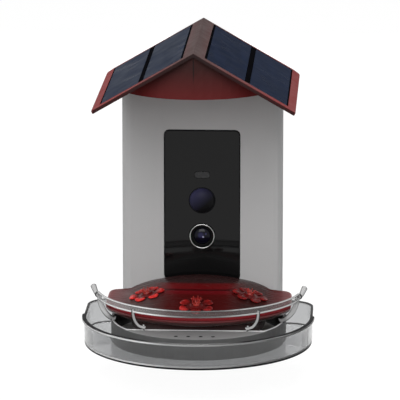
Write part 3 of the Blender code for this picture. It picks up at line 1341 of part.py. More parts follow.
def smooth_route(points, steps):
    """A Catmull-Rom curve through a few points."""
    route = [Vector(point) for point in points]
    route = [2 * route[0] - route[1]] + route + [2 * route[-1] - route[-2]]
    curve = []
    for a, b, c, d in zip(route, route[1:], route[2:], route[3:]):
        first, second, third = c - a, 2 * a - 5 * b + 4 * c - d, 3 * b - a - 3 * c + d
        for step in range(steps):
            t = step / steps
            curve.append(b + (first * t + second * t**2 + third * t**3) / 2)
    return curve + [route[-2]]


def tube(name, route, sizes, flat, material=None):
    """A bar of oval section along a route. Each point has its half sizes, along the flat way and across."""
    rings = []
    for number, point in enumerate(route):
        ahead = route[min(number + 1, len(route) - 1)]
        behind = route[max(number - 1, 0)]
        tangent = (ahead - behind).normalized()
        flat = (flat - tangent * flat.dot(tangent)).normalized()
        beside = tangent.cross(flat)
        along, across = sizes[number]
        unit = circle(1, count=TINY_STEPS)
        rings.append([point + flat * along * x + beside * across * y for x, y in unit])
    return loft(name, rings, material)


def rail_point(angle, radius=RAIL_RADIUS):
    return (radius * math.sin(angle), RAIL_CENTRE - radius * math.cos(angle))


def make_post(name, top, foot, bends, width):
    """A flat post that curves from the rail down to the basin. Bends are shares of the way in and down."""
    way = foot - top
    middle = [top + Vector((way.x * inward, way.y * inward, way.z * down)) for inward, down in bends]
    route = smooth_route([top] + middle + [foot], POST_STEPS)
    sizes = [(POST_THICKNESS / 2, width / 2)] * len(route)
    return tube(name, route, sizes, Vector((0, 1, 0)))


def make_rail(materials):
    """The perch: a flat clear band on four posts that stand on the basin's ledge and rim."""
    rings = []
    section = rounded_rectangle(RAIL_THICKNESS, RAIL_HEIGHT, RAIL_THICKNESS / 2 - GAP, steps=1)
    for step in range(RAIL_STEPS + 1):
        angle = RAIL_SPREAD * (2 * step / RAIL_STEPS - 1)
        ring = []
        for across, up in section:
            x, y = rail_point(angle, RAIL_RADIUS + across)
            ring.append((x, y, RAIL_Z + up))
        rings.append(ring)
    rail = loft("perch_rail", rings, materials["clear"])
    foot_z = BASIN_TOP + GAP + INNER_POST_WIDTH / 2
    rim_z = BASIN_TOP + GAP + OUTER_POST_WIDTH / 2
    rim = BASIN_RADIUS - BASIN_WALL / 2
    rim_x, rim_y = rim * math.cos(OUTER_FOOT_ANGLE), -rim * math.sin(OUTER_FOOT_ANGLE)
    for side_name, side in (("left", -1), ("right", 1)):
        top = Vector((*rail_point(side * math.asin(INNER_POST_TOP_X / RAIL_RADIUS)), RAIL_Z))
        foot = Vector((side * INNER_POST_FOOT_X, -BASIN_CHORD - POST_THICKNESS / 2, foot_z))
        add(rail, make_post(f"inner_post_{side_name}", top, foot, INNER_POST_SHARES, INNER_POST_WIDTH))
        top = Vector((*rail_point(side * (RAIL_SPREAD - OUTER_POST_INSET)), RAIL_Z))
        foot = Vector((side * rim_x, rim_y, rim_z))
        add(rail, make_post(f"outer_post_{side_name}", top, foot, OUTER_POST_SHARES, OUTER_POST_WIDTH))
    return rail


def make_handle(side_name, side, materials):
    """The curled end of the perch, thicker towards its knob."""
    angle = side * (RAIL_SPREAD + GAP / RAIL_RADIUS)
    start = Vector((*rail_point(angle), RAIL_Z))
    along = Vector((side * math.cos(HANDLE_HEADING), math.sin(HANDLE_HEADING), 0)) * HANDLE_LENGTH
    up = Vector((0, 0, HANDLE_RISE))
    bends = [start + along * out + up * rise for out, rise in HANDLE_SHARES]
    route = smooth_route([start] + bends, POST_STEPS)
    radii = []
    for number in range(len(route)):
        radii.append(HANDLE_ROOT + (HANDLE_KNOB - HANDLE_ROOT) * number / (len(route) - 1))
    tip = HANDLE_KNOB * HANDLE_TIP_SHARE
    route.append(route[-1] + (route[-1] - route[-2]).normalized() * tip)
    radii.append(tip)
    sizes = [(radius, radius) for radius in radii]
    return tube(f"perch_handle_{side_name}", route, sizes, Vector((0, 0, 1)), materials["clear"])


def make_perch(materials):
    pieces = [make_rail(materials)]
    for side_name, side in (("left", -1), ("right", 1)):
        pieces.append(make_handle(side_name, side, materials))
    carry(make_axis("perch_axis", (0, RAIL_CENTRE, RAIL_Z)), pieces)


def make_stand(materials, roof_space):
    pieces = [make_column(materials, roof_space)] + make_rear_cover(materials)
    pieces += make_base(materials) + make_hinge_pins(materials)
    pieces += [make_camera_case(materials), make_window(materials)] + make_panel(materials)
    pieces += make_pir(materials) + make_lens(materials) + make_electronics(materials)
    return pieces


def main():
    clear_scene()
    materials = make_materials()
    roof_space = make_roof_space()
    make_stand(materials, roof_space)
    make_roof(materials, roof_space)
    make_tray(materials)
    make_nectar_feeder(materials)
    make_perch(materials)
    make_button(materials)
    make_flap(materials)


main()
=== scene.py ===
"""The looks of the smart bird feeder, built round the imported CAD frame. Lengths are in metres."""

import math

import bmesh
import bpy
from mathutils import Matrix, Vector


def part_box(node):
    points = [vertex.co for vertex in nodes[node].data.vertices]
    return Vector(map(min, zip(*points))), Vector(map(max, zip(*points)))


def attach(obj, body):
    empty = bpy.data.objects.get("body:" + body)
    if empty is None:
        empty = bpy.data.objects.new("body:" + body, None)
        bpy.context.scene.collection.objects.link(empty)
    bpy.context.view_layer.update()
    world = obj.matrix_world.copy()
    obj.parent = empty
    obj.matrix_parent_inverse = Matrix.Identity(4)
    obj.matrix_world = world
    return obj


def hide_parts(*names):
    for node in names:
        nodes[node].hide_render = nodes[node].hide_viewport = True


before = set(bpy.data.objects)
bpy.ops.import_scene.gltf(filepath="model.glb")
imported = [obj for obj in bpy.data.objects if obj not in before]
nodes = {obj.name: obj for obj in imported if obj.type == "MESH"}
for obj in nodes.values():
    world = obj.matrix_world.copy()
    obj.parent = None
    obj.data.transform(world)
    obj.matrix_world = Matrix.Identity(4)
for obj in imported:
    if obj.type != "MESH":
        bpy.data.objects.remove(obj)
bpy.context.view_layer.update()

MM = 0.001
UP = Vector((0, 0, 1))
FORWARD = Vector((0, -1, 0))
SIDES = (("left", -1), ("right", 1))

# Camera, fitted to the photograph
IMAGE_WIDTH = 400
FOCAL_PIXELS = 3450
SENSOR_WIDTH = 36

# Clear tray. Its wall has less draft and a smaller lip than the CAD's
TRAY_RADIUS = 103.6 * MM
TRAY_DRAFT = 0.5 * MM
TRAY_HEIGHT = 24.2 * MM
TRAY_WALL = 2.2 * MM
TRAY_FLOOR = 2.5 * MM
TRAY_FOOT_ROUND = 0.9 * MM
TRAY_REAR = 60.5 * MM
TRAY_CORNER = 22 * MM
TRAY_LIP_REACH = 1.8 * MM
TRAY_LIP_HEIGHT = 2.4 * MM
TRAY_EDGE = 0.5 * MM
NOTCH_HALF = 56 * MM
NOTCH_LOW = 11.5 * MM
RIB_HEADING = math.radians(14)
RIB_HALF = 0.8 * MM

# The floor lies below the tray at the end of its slide
TRAY_TRAVEL = 35 * MM
FLOOR_GAP = 0.4 * MM
FLOOR_HALF = 12.0

# Basin and nectar feeder, as in the CAD
BASIN_RADIUS = 79 * MM
BASIN_TOP = 22 * MM
BASIN_WALL = 2.5 * MM
BASIN_CHORD = 48 * MM
DRAIN_Y = -69 * MM
FEEDER_ARC_RADIUS = 92 * MM
FEEDER_ARC_CENTRE = 37 * MM
FEEDER_HALF_WIDTH = 84 * MM
FEEDER_REAR = 70.5 * MM
EAR_REAR = 45 * MM
EAR_CORNER = 7 * MM
SHOULDER_RADIUS = 73 * MM
SHOULDER_CENTRE = 16 * MM
DOME_CENTRE = 30 * MM
DOME_HALF_WIDTH = 68 * MM
DOME_FRONT_DEPTH = 85 * MM
DOME_REAR_DEPTH = 73 * MM
DOME_RISE = 15.2 * MM
DOME_POWER = 1.35
COVER_TOP = 37 * MM
COVER_EDGE = 3.4 * MM
COVER_LOW = 32.3 * MM
SHELL = 2 * MM
BOWL_RIM = 32 * MM
BOWL_UNDERSIDE = 24.8 * MM
WELL_HALF_WIDTH = 62 * MM
WELL_HALF_DEPTH = 45 * MM
WELL_CENTRE = 3 * MM
WELL_BOTTOM = 8 * MM
DISH_FEET = ((-30, -15), (30, -15), (-30, 21), (30, 21))
DISH_FOOT_LOW = 6.1 * MM
FLOWERS = {"left": (-46.5 * MM, 2 * MM), "front": (0.0, -37 * MM), "right": (46.5 * MM, 2 * MM)}
PETAL_TURN = {"left": math.radians(12), "front": math.radians(30), "right": math.radians(-12)}
PETAL_COUNT = 6
STAMEN_COUNT = 12

# Perch
RAIL_RADIUS = 94 * MM
RAIL_CENTRE = 27 * MM
RAIL_SPREAD = math.radians(75)
RAIL_Z = 41.6 * MM
RAIL_HEIGHT = 6.6 * MM
RAIL_THICKNESS = 2.2 * MM
BAND_HALF = 0.6 * MM
TOP_BEAD = 1.1 * MM
LOW_BEAD = 1.5 * MM
POST_THICKNESS = 2.4 * MM
POST_GAP = 0.3 * MM
INNER_POST_WIDTH = 3.4 * MM
INNER_POST_TOP_X = 56 * MM
INNER_POST_FOOT_X = 45 * MM
OUTER_POST_WIDTH = 4.6 * MM
OUTER_POST_INSET = math.radians(2)
OUTER_FOOT_HEADING = math.radians(14.4)
CLIP_X = 46.6 * MM
KNOB_HEADING = math.radians(60)
KNOB_LENGTH = 13 * MM
KNOB_RISE = 6 * MM
KNOB_RADIUS = 2.7 * MM
KNOB_ROOT_RADIUS = 1.9 * MM

# Camera front, as in the CAD
PANEL_FACE = 73.8 * MM
LENS_Z = 80.7 * MM
LENS_BEZEL_Y = 72.6 * MM
PIR_Z = 114.6 * MM
PIR_BACK = 77 * MM


# Node helpers

def rgba(colour):
    """A colour as a socket holds it. A single number is a grey."""
    return (*colour, 1) if isinstance(colour, tuple) else (colour, colour, colour, 1)


def feed(socket, value):
    """Links an output to a socket, or sets the socket to a number, place or colour."""
    if isinstance(value, bpy.types.NodeSocket):
        socket.id_data.links.new(value, socket)
    else:
        socket.default_value = rgba(value) if socket.type == "RGBA" else value


def feed_named(node, values):
    """Feeds a node's inputs by name, written with _ for each space."""
    for name, value in values.items():
        feed(node.inputs[name.replace("_", " ")], value)


def add_node(tree, kind, *ordered, **values):
    """Adds a node and feeds its inputs, in order or by name."""
    node = tree.nodes.new("ShaderNode" + kind)
    for socket, value in zip(node.inputs, ordered):
        feed(socket, value)
    feed_named(node, values)
    return node


def math_of(operation, first, *others):
    step = add_node(first.id_data, "Math", first, *others)
    step.operation = operation
    return step.outputs[0]


def length_of(first, second):
    """The hypotenuse of two lengths."""
    square = math_of("ADD", math_of("MULTIPLY", first, first), math_of("MULTIPLY", second, second))
    return math_of("SQRT", square)


def range_of(value, from_low, from_high, to_low=0, to_high=1):
    """Carries one range of numbers over to another."""
    return add_node(value.id_data, "MapRange", value, from_low, from_high, to_low, to_high).outputs[0]


def mix_of(share, first, second):
    mix = add_node(share.id_data, "Mix")
    mix.data_type = "RGBA"
    for number, value in ((0, share), (6, first), (7, second)):
        feed(mix.inputs[number], value)
    return mix.outputs[2]


def ramp_of(value, stops):
    """Colours at several numbers from 0 to 1, and mixes between them."""
    ramp = add_node(value.id_data, "ValToRGB", Fac=value)
    elements = ramp.color_ramp.elements
    while len(elements) < len(stops):
        elements.new(1)
    for element, (place, colour) in zip(elements, stops):
        element.position = place
        element.color = rgba(colour)
    return ramp.outputs[0]


def bands_of(value, reach, stops):
    """Colours at places from minus reach to plus reach, in millimetres."""
    shares = [((place + reach) / (2 * reach), colour) for place, colour in stops]
    return ramp_of(range_of(value, -reach * MM, reach * MM), shares)


def axes_of(tree, system="Object"):
    """X, Y and Z of the place in the object's frame, or of another system."""
    place = add_node(tree, "TexCoord").outputs[system]
    return add_node(tree, "SeparateXYZ", Vector=place).outputs[:3]


def place_of(tree, stretch):
    """The place in the object's frame, in metres, with each axis stretched."""
    place = add_node(tree, "TexCoord").outputs["Object"]
    return add_node(tree, "Mapping", Scale=stretch, Vector=place).outputs[0]


def noise_of(tree, scale, stretch=(1, 1, 1), detail=2):
    place = place_of(tree, stretch)
    return add_node(tree, "TexNoise", Scale=scale, Detail=detail, Vector=place).outputs["Fac"]


def seen_rays(tree):
    """1 for camera, glossy and transmission rays, which see the white background."""
    rays = add_node(tree, "LightPath").outputs
    first = math_of("MAXIMUM", rays["Is Camera Ray"], rays["Is Glossy Ray"])
    return math_of("MAXIMUM", first, rays["Is Transmission Ray"])


# Camera, lamps, world and floor

def add_object(name, data):
    thing = bpy.data.objects.new(name, data)
    bpy.context.scene.collection.objects.link(thing)
    return thing


def make_camera():
    data = bpy.data.cameras.new("camera")
    data.sensor_width = SENSOR_WIDTH
    data.lens = FOCAL_PIXELS / IMAGE_WIDTH * SENSOR_WIDTH
    data.clip_start = 0.1
    data.clip_end = 50
    right = Vector((0.99884, 0.04815, 0))
    up = Vector((-0.01026, 0.21278, 0.97705))
    ahead = Vector((-0.04705, 0.97592, -0.21303))
    place = Matrix((right, up, -ahead)).transposed().to_4x4()
    place.translation = Vector((0.1477, -3.0302, 0.7925))
    camera = add_object("camera", data)
    camera.matrix_world = place
    bpy.context.scene.camera = camera


def make_lamp(name, place, target, size, power, mirrored=True):
    data = bpy.data.lights.new(name, "AREA")
    data.shape = "RECTANGLE"
    data.size, data.size_y = size
    data.energy = power
    lamp = add_object(name, data)
    lamp.location = place
    lamp.rotation_euler = (Vector(target) - Vector(place)).to_track_quat("-Z", "Y").to_euler()
    lamp.visible_glossy = mirrored


def make_world():
    """Grey light that is paler from above, and white for what the camera, gloss and glass see."""
    world = bpy.data.worlds.new("studio")
    bpy.context.scene.world = world
    world.use_nodes = True
    tree = world.node_tree
    tree.nodes.clear()
    ambient = ramp_of(axes_of(tree, "Generated")[2], ((0.0, (0.16, 0.16, 0.165)), (0.8, 0.55)))
    grey = add_node(tree, "Background", Color=ambient, Strength=0.5)
    white = add_node(tree, "Background", Color=1, Strength=1)
    mix = add_node(tree, "MixShader", seen_rays(tree), grey.outputs[0], white.outputs[0])
    add_node(tree, "OutputWorld", Surface=mix.outputs[0])


def make_floor():
    """A floor that takes the object's shadow, and is white where the camera, gloss and glass see it."""
    mesh = bpy.data.meshes.new("floor")
    low = -TRAY_TRAVEL - FLOOR_GAP
    corners = [(x * FLOOR_HALF, y * FLOOR_HALF, low) for x, y in ((-1, -1), (1, -1), (1, 1), (-1, 1))]
    mesh.from_pydata(corners, [], [(0, 1, 2, 3)])
    material = bpy.data.materials.new("floor_white")
    material.use_nodes = True
    tree = material.node_tree
    tree.nodes.clear()
    seen = seen_rays(tree)
    diffuse = add_node(tree, "BsdfDiffuse", Color=mix_of(seen, 0.26, 0.11))
    white = add_node(tree, "Emission", Strength=math_of("MULTIPLY", seen, 0.95))
    both = add_node(tree, "AddShader", diffuse.outputs[0], white.outputs[0])
    add_node(tree, "OutputMaterial", Surface=both.outputs[0])
    mesh.materials.append(material)
    add_object("floor", mesh)


def make_studio():
    make_camera()
    make_world()
    make_floor()
    bpy.context.scene.view_settings.view_transform = "Standard"
    body, column = (0, 0, 0.1), (0, 0.05, 0.12)
    make_lamp("front", (-0.15, -1.75, 1.1), body, (1.2, 1.45), 27)
    make_lamp("top", (0, 0.1, 1.9), body, (1.8, 1.6), 24)
    make_lamp("left", (-1.7, -0.1, 0.5), column, (0.8, 0.9), 2.5)
    make_lamp("right", (1.7, -0.2, 0.5), column, (0.8, 0.9), 0.9)
    make_lamp("back", (0, 1.9, 0.12), (0, 0.1, 0.12), (0.6, 0.2), 6, mirrored=False)


# Materials

def set_inputs(tree, **values):
    feed_named(tree.nodes["Principled BSDF"], values)


def new_material(name, colour, roughness, level=0.5, **more):
    material = bpy.data.materials.new(name)
    material.use_nodes = True
    tree = material.node_tree
    set_inputs(tree, Base_Color=colour, Roughness=roughness, Specular_IOR_Level=level, **more)
    return material, tree


def painted(paint, *facts, **more):
    """A material whose colour and detail a function lays out."""
    material, tree = new_material(*facts, **more)
    set_inputs(tree, Base_Color=paint(tree))
    return material


def vary_rough(tree, scale, least, most, stretch=(1, 1, 1), detail=2, low=0.3, high=0.7):
    """Roughness that wanders between two values with a noise."""
    set_inputs(tree, Roughness=range_of(noise_of(tree, scale, stretch, detail), low, high, least, most))


def add_bump(tree, scale, strength, distance, stretch=(1, 1, 1), detail=2):
    """A noise that stands out by a distance in millimetres."""
    height = noise_of(tree, scale, stretch, detail)
    bump = add_node(tree, "Bump", Strength=strength, Distance=distance * MM, Height=height)
    set_inputs(tree, Normal=bump.outputs[0])


def moulded(name, colour, roughness, grain=1700, contrast=0.06, level=0.5, paint=None):
    """Moulded plastic: a fine spark-eroded grain, a faint mottle and a little wear in the gloss."""
    material, tree = new_material(name, colour, roughness, level)
    tones = rgba(colour)[:3]
    darker = tuple(c * (1 - contrast) for c in tones)
    lighter = tuple(min(c * (1 + contrast), 1) for c in tones)
    set_inputs(tree, Base_Color=mix_of(noise_of(tree, 38, detail=3), darker, lighter))
    vary_rough(tree, 120, roughness - 0.05, roughness + 0.06)
    add_bump(tree, grain, 0.25, 0.06, detail=3)
    if paint:
        set_inputs(tree, Base_Color=paint(tree))
    return material


def polished(name, colour, roughness, scale, least, most, stretch=(1, 1, 1), **more):
    """A plain surface whose gloss wanders a little."""
    material, tree = new_material(name, colour, roughness, **more)
    vary_rough(tree, scale, least, most, stretch)
    return material


def add_satin(tree):
    """The satin gloss and fine grain of the roof's plastic."""
    vary_rough(tree, 90, 0.55, 0.66)
    add_bump(tree, 1500, 0.2, 0.05, detail=3)


def paint_red(tree):
    """Satin red plastic: a painted sheen makes it browner towards the ridge, and painted shade darkens the
    faces that look down and, most, those that look forward.
    """
    high = range_of(axes_of(tree)[2], 238 * MM, 279 * MM)
    _, normal_y, normal_z = axes_of(tree, "Normal")
    low_colour = mix_of(noise_of(tree, 30, detail=3), (0.15, 0.016, 0.016), (0.18, 0.022, 0.022))
    # Painted sheen: browner towards the ridge
    colour = mix_of(high, low_colour, (0.042, 0.021, 0.02))
    # Painted shade on faces that look down
    colour = mix_of(range_of(normal_z, -0.6, -0.3, 1, 0), colour, (0.03, 0.008, 0.008))
    # Painted shade on faces that look forward, also browner towards the ridge
    fascia_painted_shade = mix_of(high, (0.034, 0.01, 0.01), (0.022, 0.013, 0.013))
    add_satin(tree)
    return mix_of(range_of(normal_y, -0.9, -0.6, 1, 0), colour, fascia_painted_shade)


def paint_hood_red(tree):
    """The hood under the ridge: painted shade darkens it towards the top, painted light makes it redder at
    its two ends, and a painted shade line marks the faint crease below the apex.
    """
    x, _, z = axes_of(tree)
    beside = math_of("ABSOLUTE", x)
    # Painted shade: darker towards the top
    colour = mix_of(range_of(z, 239 * MM, 266 * MM), (0.12, 0.018, 0.018), (0.046, 0.018, 0.017))
    # Painted light: redder at the two ends
    colour = mix_of(range_of(beside, 34 * MM, 62 * MM), colour, (0.15, 0.01, 0.01))
    # Painted shade line along the crease below the apex
    line = range_of(beside, 0.3 * MM, 0.8 * MM, 0.85, 0)
    crease_painted_shade = math_of("MULTIPLY", line, range_of(z, 251 * MM, 261 * MM))
    add_satin(tree)
    return mix_of(crease_painted_shade, colour, (0.012, 0.01, 0.01))


def paint_cell(tree):
    """Solar cells: deep blue flakes, with fine contact fingers, softer bands down the slope, and a paler
    painted sheen towards the eaves.
    """
    x, y, _ = axes_of(tree)
    finger = range_of(math_of("PINGPONG", y, 1.6 * MM), 0, 0.4 * MM, 1, 0)
    band = range_of(math_of("PINGPONG", y, 6.2 * MM), 0.2 * MM, 2.4 * MM, 0.35, 0)
    lines = math_of("MULTIPLY", math_of("MAXIMUM", finger, band), 0.3)
    flake = add_node(tree, "TexVoronoi", Scale=150, Vector=place_of(tree, (1, 0.25, 1)))
    shade = add_node(tree, "SeparateColor", Color=flake.outputs["Color"])
    base = mix_of(shade.outputs[0], (0.034, 0.05, 0.092), (0.055, 0.075, 0.125))
    # Painted sheen: paler towards the eaves
    outer = range_of(math_of("ABSOLUTE", x), 30 * MM, 95 * MM, 0, 0.7)
    base = mix_of(outer, base, (0.075, 0.09, 0.13))
    vary_rough(tree, 60, 0.26, 0.38)
    return mix_of(lines, base, (0.22, 0.25, 0.3))


def edge_of(tree, first, last):
    """0 where the surface faces the viewer, and 1 at its outline."""
    return range_of(add_node(tree, "LayerWeight", Blend=0.5).outputs["Facing"], first, last)


def paint_clear(tree):
    """The tray's clear plastic, with faint flow marks, and painted shade that darkens its outlines."""
    add_bump(tree, 60, 0.12, 0.25, (1, 1, 0.4))
    vary_rough(tree, 220, 0.03, 0.08, low=0.35, high=0.75)
    # Painted shade where the plastic is seen edge-on
    return mix_of(edge_of(tree, 0.88, 1), (0.5, 0.505, 0.51), (0.05, 0.05, 0.052))


def make_film(name, stops, edge, solid, outline, roughness, level=0.1):
    """Thin clear moulding. Its colour changes from left to right as painted light, its outlines are darkened
    as painted shade, and what is behind shows through it.
    """
    material, tree = new_material(name, 0.5, roughness, level=level)
    mottle = range_of(noise_of(tree, 90, detail=3), 0.35, 0.65, -1.5 * MM, 1.5 * MM)
    # Painted light: the colour from left to right
    middle = bands_of(math_of("ADD", axes_of(tree)[0], mottle), 100, stops)
    share = edge_of(tree, *outline)
    # Painted shade on the outlines
    set_inputs(tree, Base_Color=mix_of(share, middle, edge), Alpha=range_of(share, 0, 1, solid, 1))
    vary_rough(tree, 300, roughness, roughness + 0.1)
    return material


def paint_shade(tree):
    """Painted shade: the near black of clear plastic seen along its length at the tray's foot and rim, and
    of black rings in gaps and holes. It is less dark towards the rear, with a painted highlight at the rim's
    front middle.
    """
    _, y, z = axes_of(tree)
    mottle = noise_of(tree, 60, detail=3)
    dark = mix_of(mottle, (0.008, 0.008, 0.009), (0.014, 0.014, 0.015))
    rear = mix_of(mottle, (0.06, 0.06, 0.062), (0.09, 0.09, 0.092))
    # Less painted shade towards the rear
    at_rear = math_of("MULTIPLY", range_of(y, -8 * MM, 20 * MM), range_of(z, 30 * MM, 36 * MM, 1, 0))
    # Painted highlight on the rim's front middle
    front_painted_highlight = math_of("MULTIPLY", range_of(y, -101 * MM, -93 * MM, 1, 0), range_of(z, 18 * MM, 20 * MM))
    colour = mix_of(at_rear, dark, rear)
    return mix_of(front_painted_highlight, colour, mix_of(mottle, 0.15, 0.21))


def paint_basin(tree):
    """The seed basin's grey: painted shade makes it deep on its outer walls, and painted light makes it
    paler inside and on its ledge.
    """
    x, y, z = axes_of(tree)
    mottle = noise_of(tree, 38, detail=3)
    # Painted shade on the outer walls, painted light inside the rim
    inside = range_of(length_of(x, y), 76.6 * MM, 77.4 * MM, 1, 0)
    colour = mix_of(inside, mix_of(mottle, 0.08, 0.09), (0.6, 0.59, 0.58))
    # Painted light on the ledge
    ledge_painted_light = math_of("MULTIPLY", range_of(z, 21.3 * MM, 21.8 * MM), range_of(y, -47 * MM, -46 * MM, 1, 0))
    return mix_of(ledge_painted_light, colour, mix_of(mottle, 0.24, 0.27))


def streaked(tree, deep, bright):
    """A colour in streaks from left to right."""
    return mix_of(range_of(noise_of(tree, 150, (0.06, 1, 1)), 0.36, 0.68), deep, bright)


def paint_cover_red(tree):
    """Dark red plastic with painted reflections: two bright bands across its crown, a pale painted sheen on
    its left side, and a painted highlight along its lower edge.
    """
    x, y, z = axes_of(tree)
    beside = math_of("ABSOLUTE", x)
    # Painted reflections: two bright bands across the crown, on planes that tilt with height
    lean = math_of("MULTIPLY_ADD", z, 4.6, -48.5 * 4.6 * MM)
    stops = (
        (-48, (0.075, 0.006, 0.006)), (-24, (0.095, 0.005, 0.005)), (-17, (0.15, 0.005, 0.008)),
        (-8, (0.17, 0.005, 0.009)), (-6, (0.06, 0.002, 0.003)), (-3, (0.04, 0.002, 0.002)),
        (-1, (0.12, 0.004, 0.006)), (4, (0.17, 0.006, 0.008)), (20, (0.15, 0.006, 0.007)),
        (26, (0.045, 0.014, 0.014)), (36, (0.03, 0.012, 0.012)), (46, (0.035, 0.01, 0.01)),
    )
    bands = bands_of(math_of("ADD", y, lean), 60, stops)
    # Painted sheen: pale on the left side, darker on the right
    left = streaked(tree, (0.08, 0.05, 0.049), (0.11, 0.064, 0.063))
    right = streaked(tree, (0.034, 0.01, 0.009), (0.054, 0.012, 0.011))
    colour = mix_of(range_of(x, -45 * MM, 30 * MM), left, right)
    colour = mix_of(range_of(beside, 26 * MM, 44 * MM, 1, 0), colour, bands)
    colour = mix_of(range_of(beside, 58 * MM, 80 * MM), colour, (0.16, 0.018, 0.02))
    # Painted highlight along the lower edge
    rim = range_of(z, 35.2 * MM, 36.6 * MM, 1, 0)
    vary_rough(tree, 180, 0.22, 0.32, (0.2, 1, 1))
    add_bump(tree, 55, 0.1, 0.3, (0.5, 1, 1))
    return mix_of(rim, colour, (0.3, 0.028, 0.034))


def paint_bowl_red(tree):
    """Deep red plastic of the nectar bowl, glossier than its cover, with a painted highlight along its rim.
    """
    z = axes_of(tree)[2]
    low = streaked(tree, (0.062, 0.026, 0.025), (0.09, 0.032, 0.031))
    low = mix_of(range_of(z, 19 * MM, 25 * MM), (0.09, 0.062, 0.062), low)
    # Painted highlight along the rim
    rim = range_of(z, 29.5 * MM, 31.5 * MM)
    vary_rough(tree, 200, 0.14, 0.26, (0.2, 1, 1))
    add_bump(tree, 60, 0.08, 0.3, (0.5, 1, 1))
    return mix_of(rim, low, (0.22, 0.04, 0.044))


def paint_flower_red(tree):
    """Flower plastic: as dark as the cover near the port, bright at the round petal ends, and brighter on
    the left flower than the right as painted light.
    """
    tip = add_node(tree, "Attribute")
    tip.attribute_name = "tip"
    mottle = noise_of(tree, 260, detail=3)
    vivid = range_of(mottle, 0.35, 0.65)
    left = mix_of(vivid, (0.55, 0.014, 0.014), (0.95, 0.055, 0.048))
    right = mix_of(vivid, (0.1, 0.006, 0.006), (0.3, 0.012, 0.012))
    # Painted light: the left flower bright, the right one dim
    bright = mix_of(range_of(axes_of(tree)[0], -46 * MM, 14 * MM), left, right)
    dark = mix_of(mottle, (0.07, 0.005, 0.005), (0.15, 0.007, 0.007))
    set_inputs(tree, Roughness=range_of(mottle, 0.3, 0.7, 0.18, 0.32))
    return mix_of(range_of(tip.outputs["Fac"], 0.4, 1), dark, bright)


def make_gloss():
    """The camera front's high gloss, with a trace of waviness."""
    material, tree = new_material("black_gloss", (0.005, 0.005, 0.0052), 0.08, level=0.2)
    vary_rough(tree, 45, 0.045, 0.09, detail=4, low=0.4, high=0.75)
    add_bump(tree, 25, 0.05, 0.1)
    return material


def paint_glass(tree):
    """The lens, with three soft painted reflections, one of them a bright glint: across, up, radius, core
    and colour.
    """
    x, _, z = axes_of(tree)
    painted_reflection_spots = (
        (-1.2, 1.0, 3.4, 1.6, (0.022, 0.02, 0.075)), (1.0, -0.6, 1.1, 0.3, (0.42, 0.42, 0.6)),
        (3.4, 2.2, 1.3, 0.5, (0.04, 0.037, 0.11)),
    )
    colour = (0.004, 0.004, 0.01)
    for across, up, radius, core, tone in painted_reflection_spots:
        away = length_of(math_of("SUBTRACT", x, across * MM), math_of("SUBTRACT", z, LENS_Z + up * MM))
        colour = mix_of(range_of(away, core * MM, radius * MM, 1, 0), colour, tone)
    return colour


def paint_dome_black(tree):
    """The motion dome: black, with a bluer painted sheen towards its upper left."""
    x, _, z = axes_of(tree)
    # Painted sheen towards the upper left
    lean = math_of("SUBTRACT", z, math_of("MULTIPLY", x, 0.9))
    share = range_of(lean, PIR_Z - 7 * MM, PIR_Z + 13 * MM)
    add_bump(tree, 900, 0.1, 0.03)
    return mix_of(share, (0.009, 0.009, 0.01), (0.038, 0.037, 0.082))


def paint_guard_red(tree):
    return mix_of(noise_of(tree, 260), (0.26, 0.008, 0.008), (0.62, 0.05, 0.03))


# The materials, by short names
LOOKS = {}


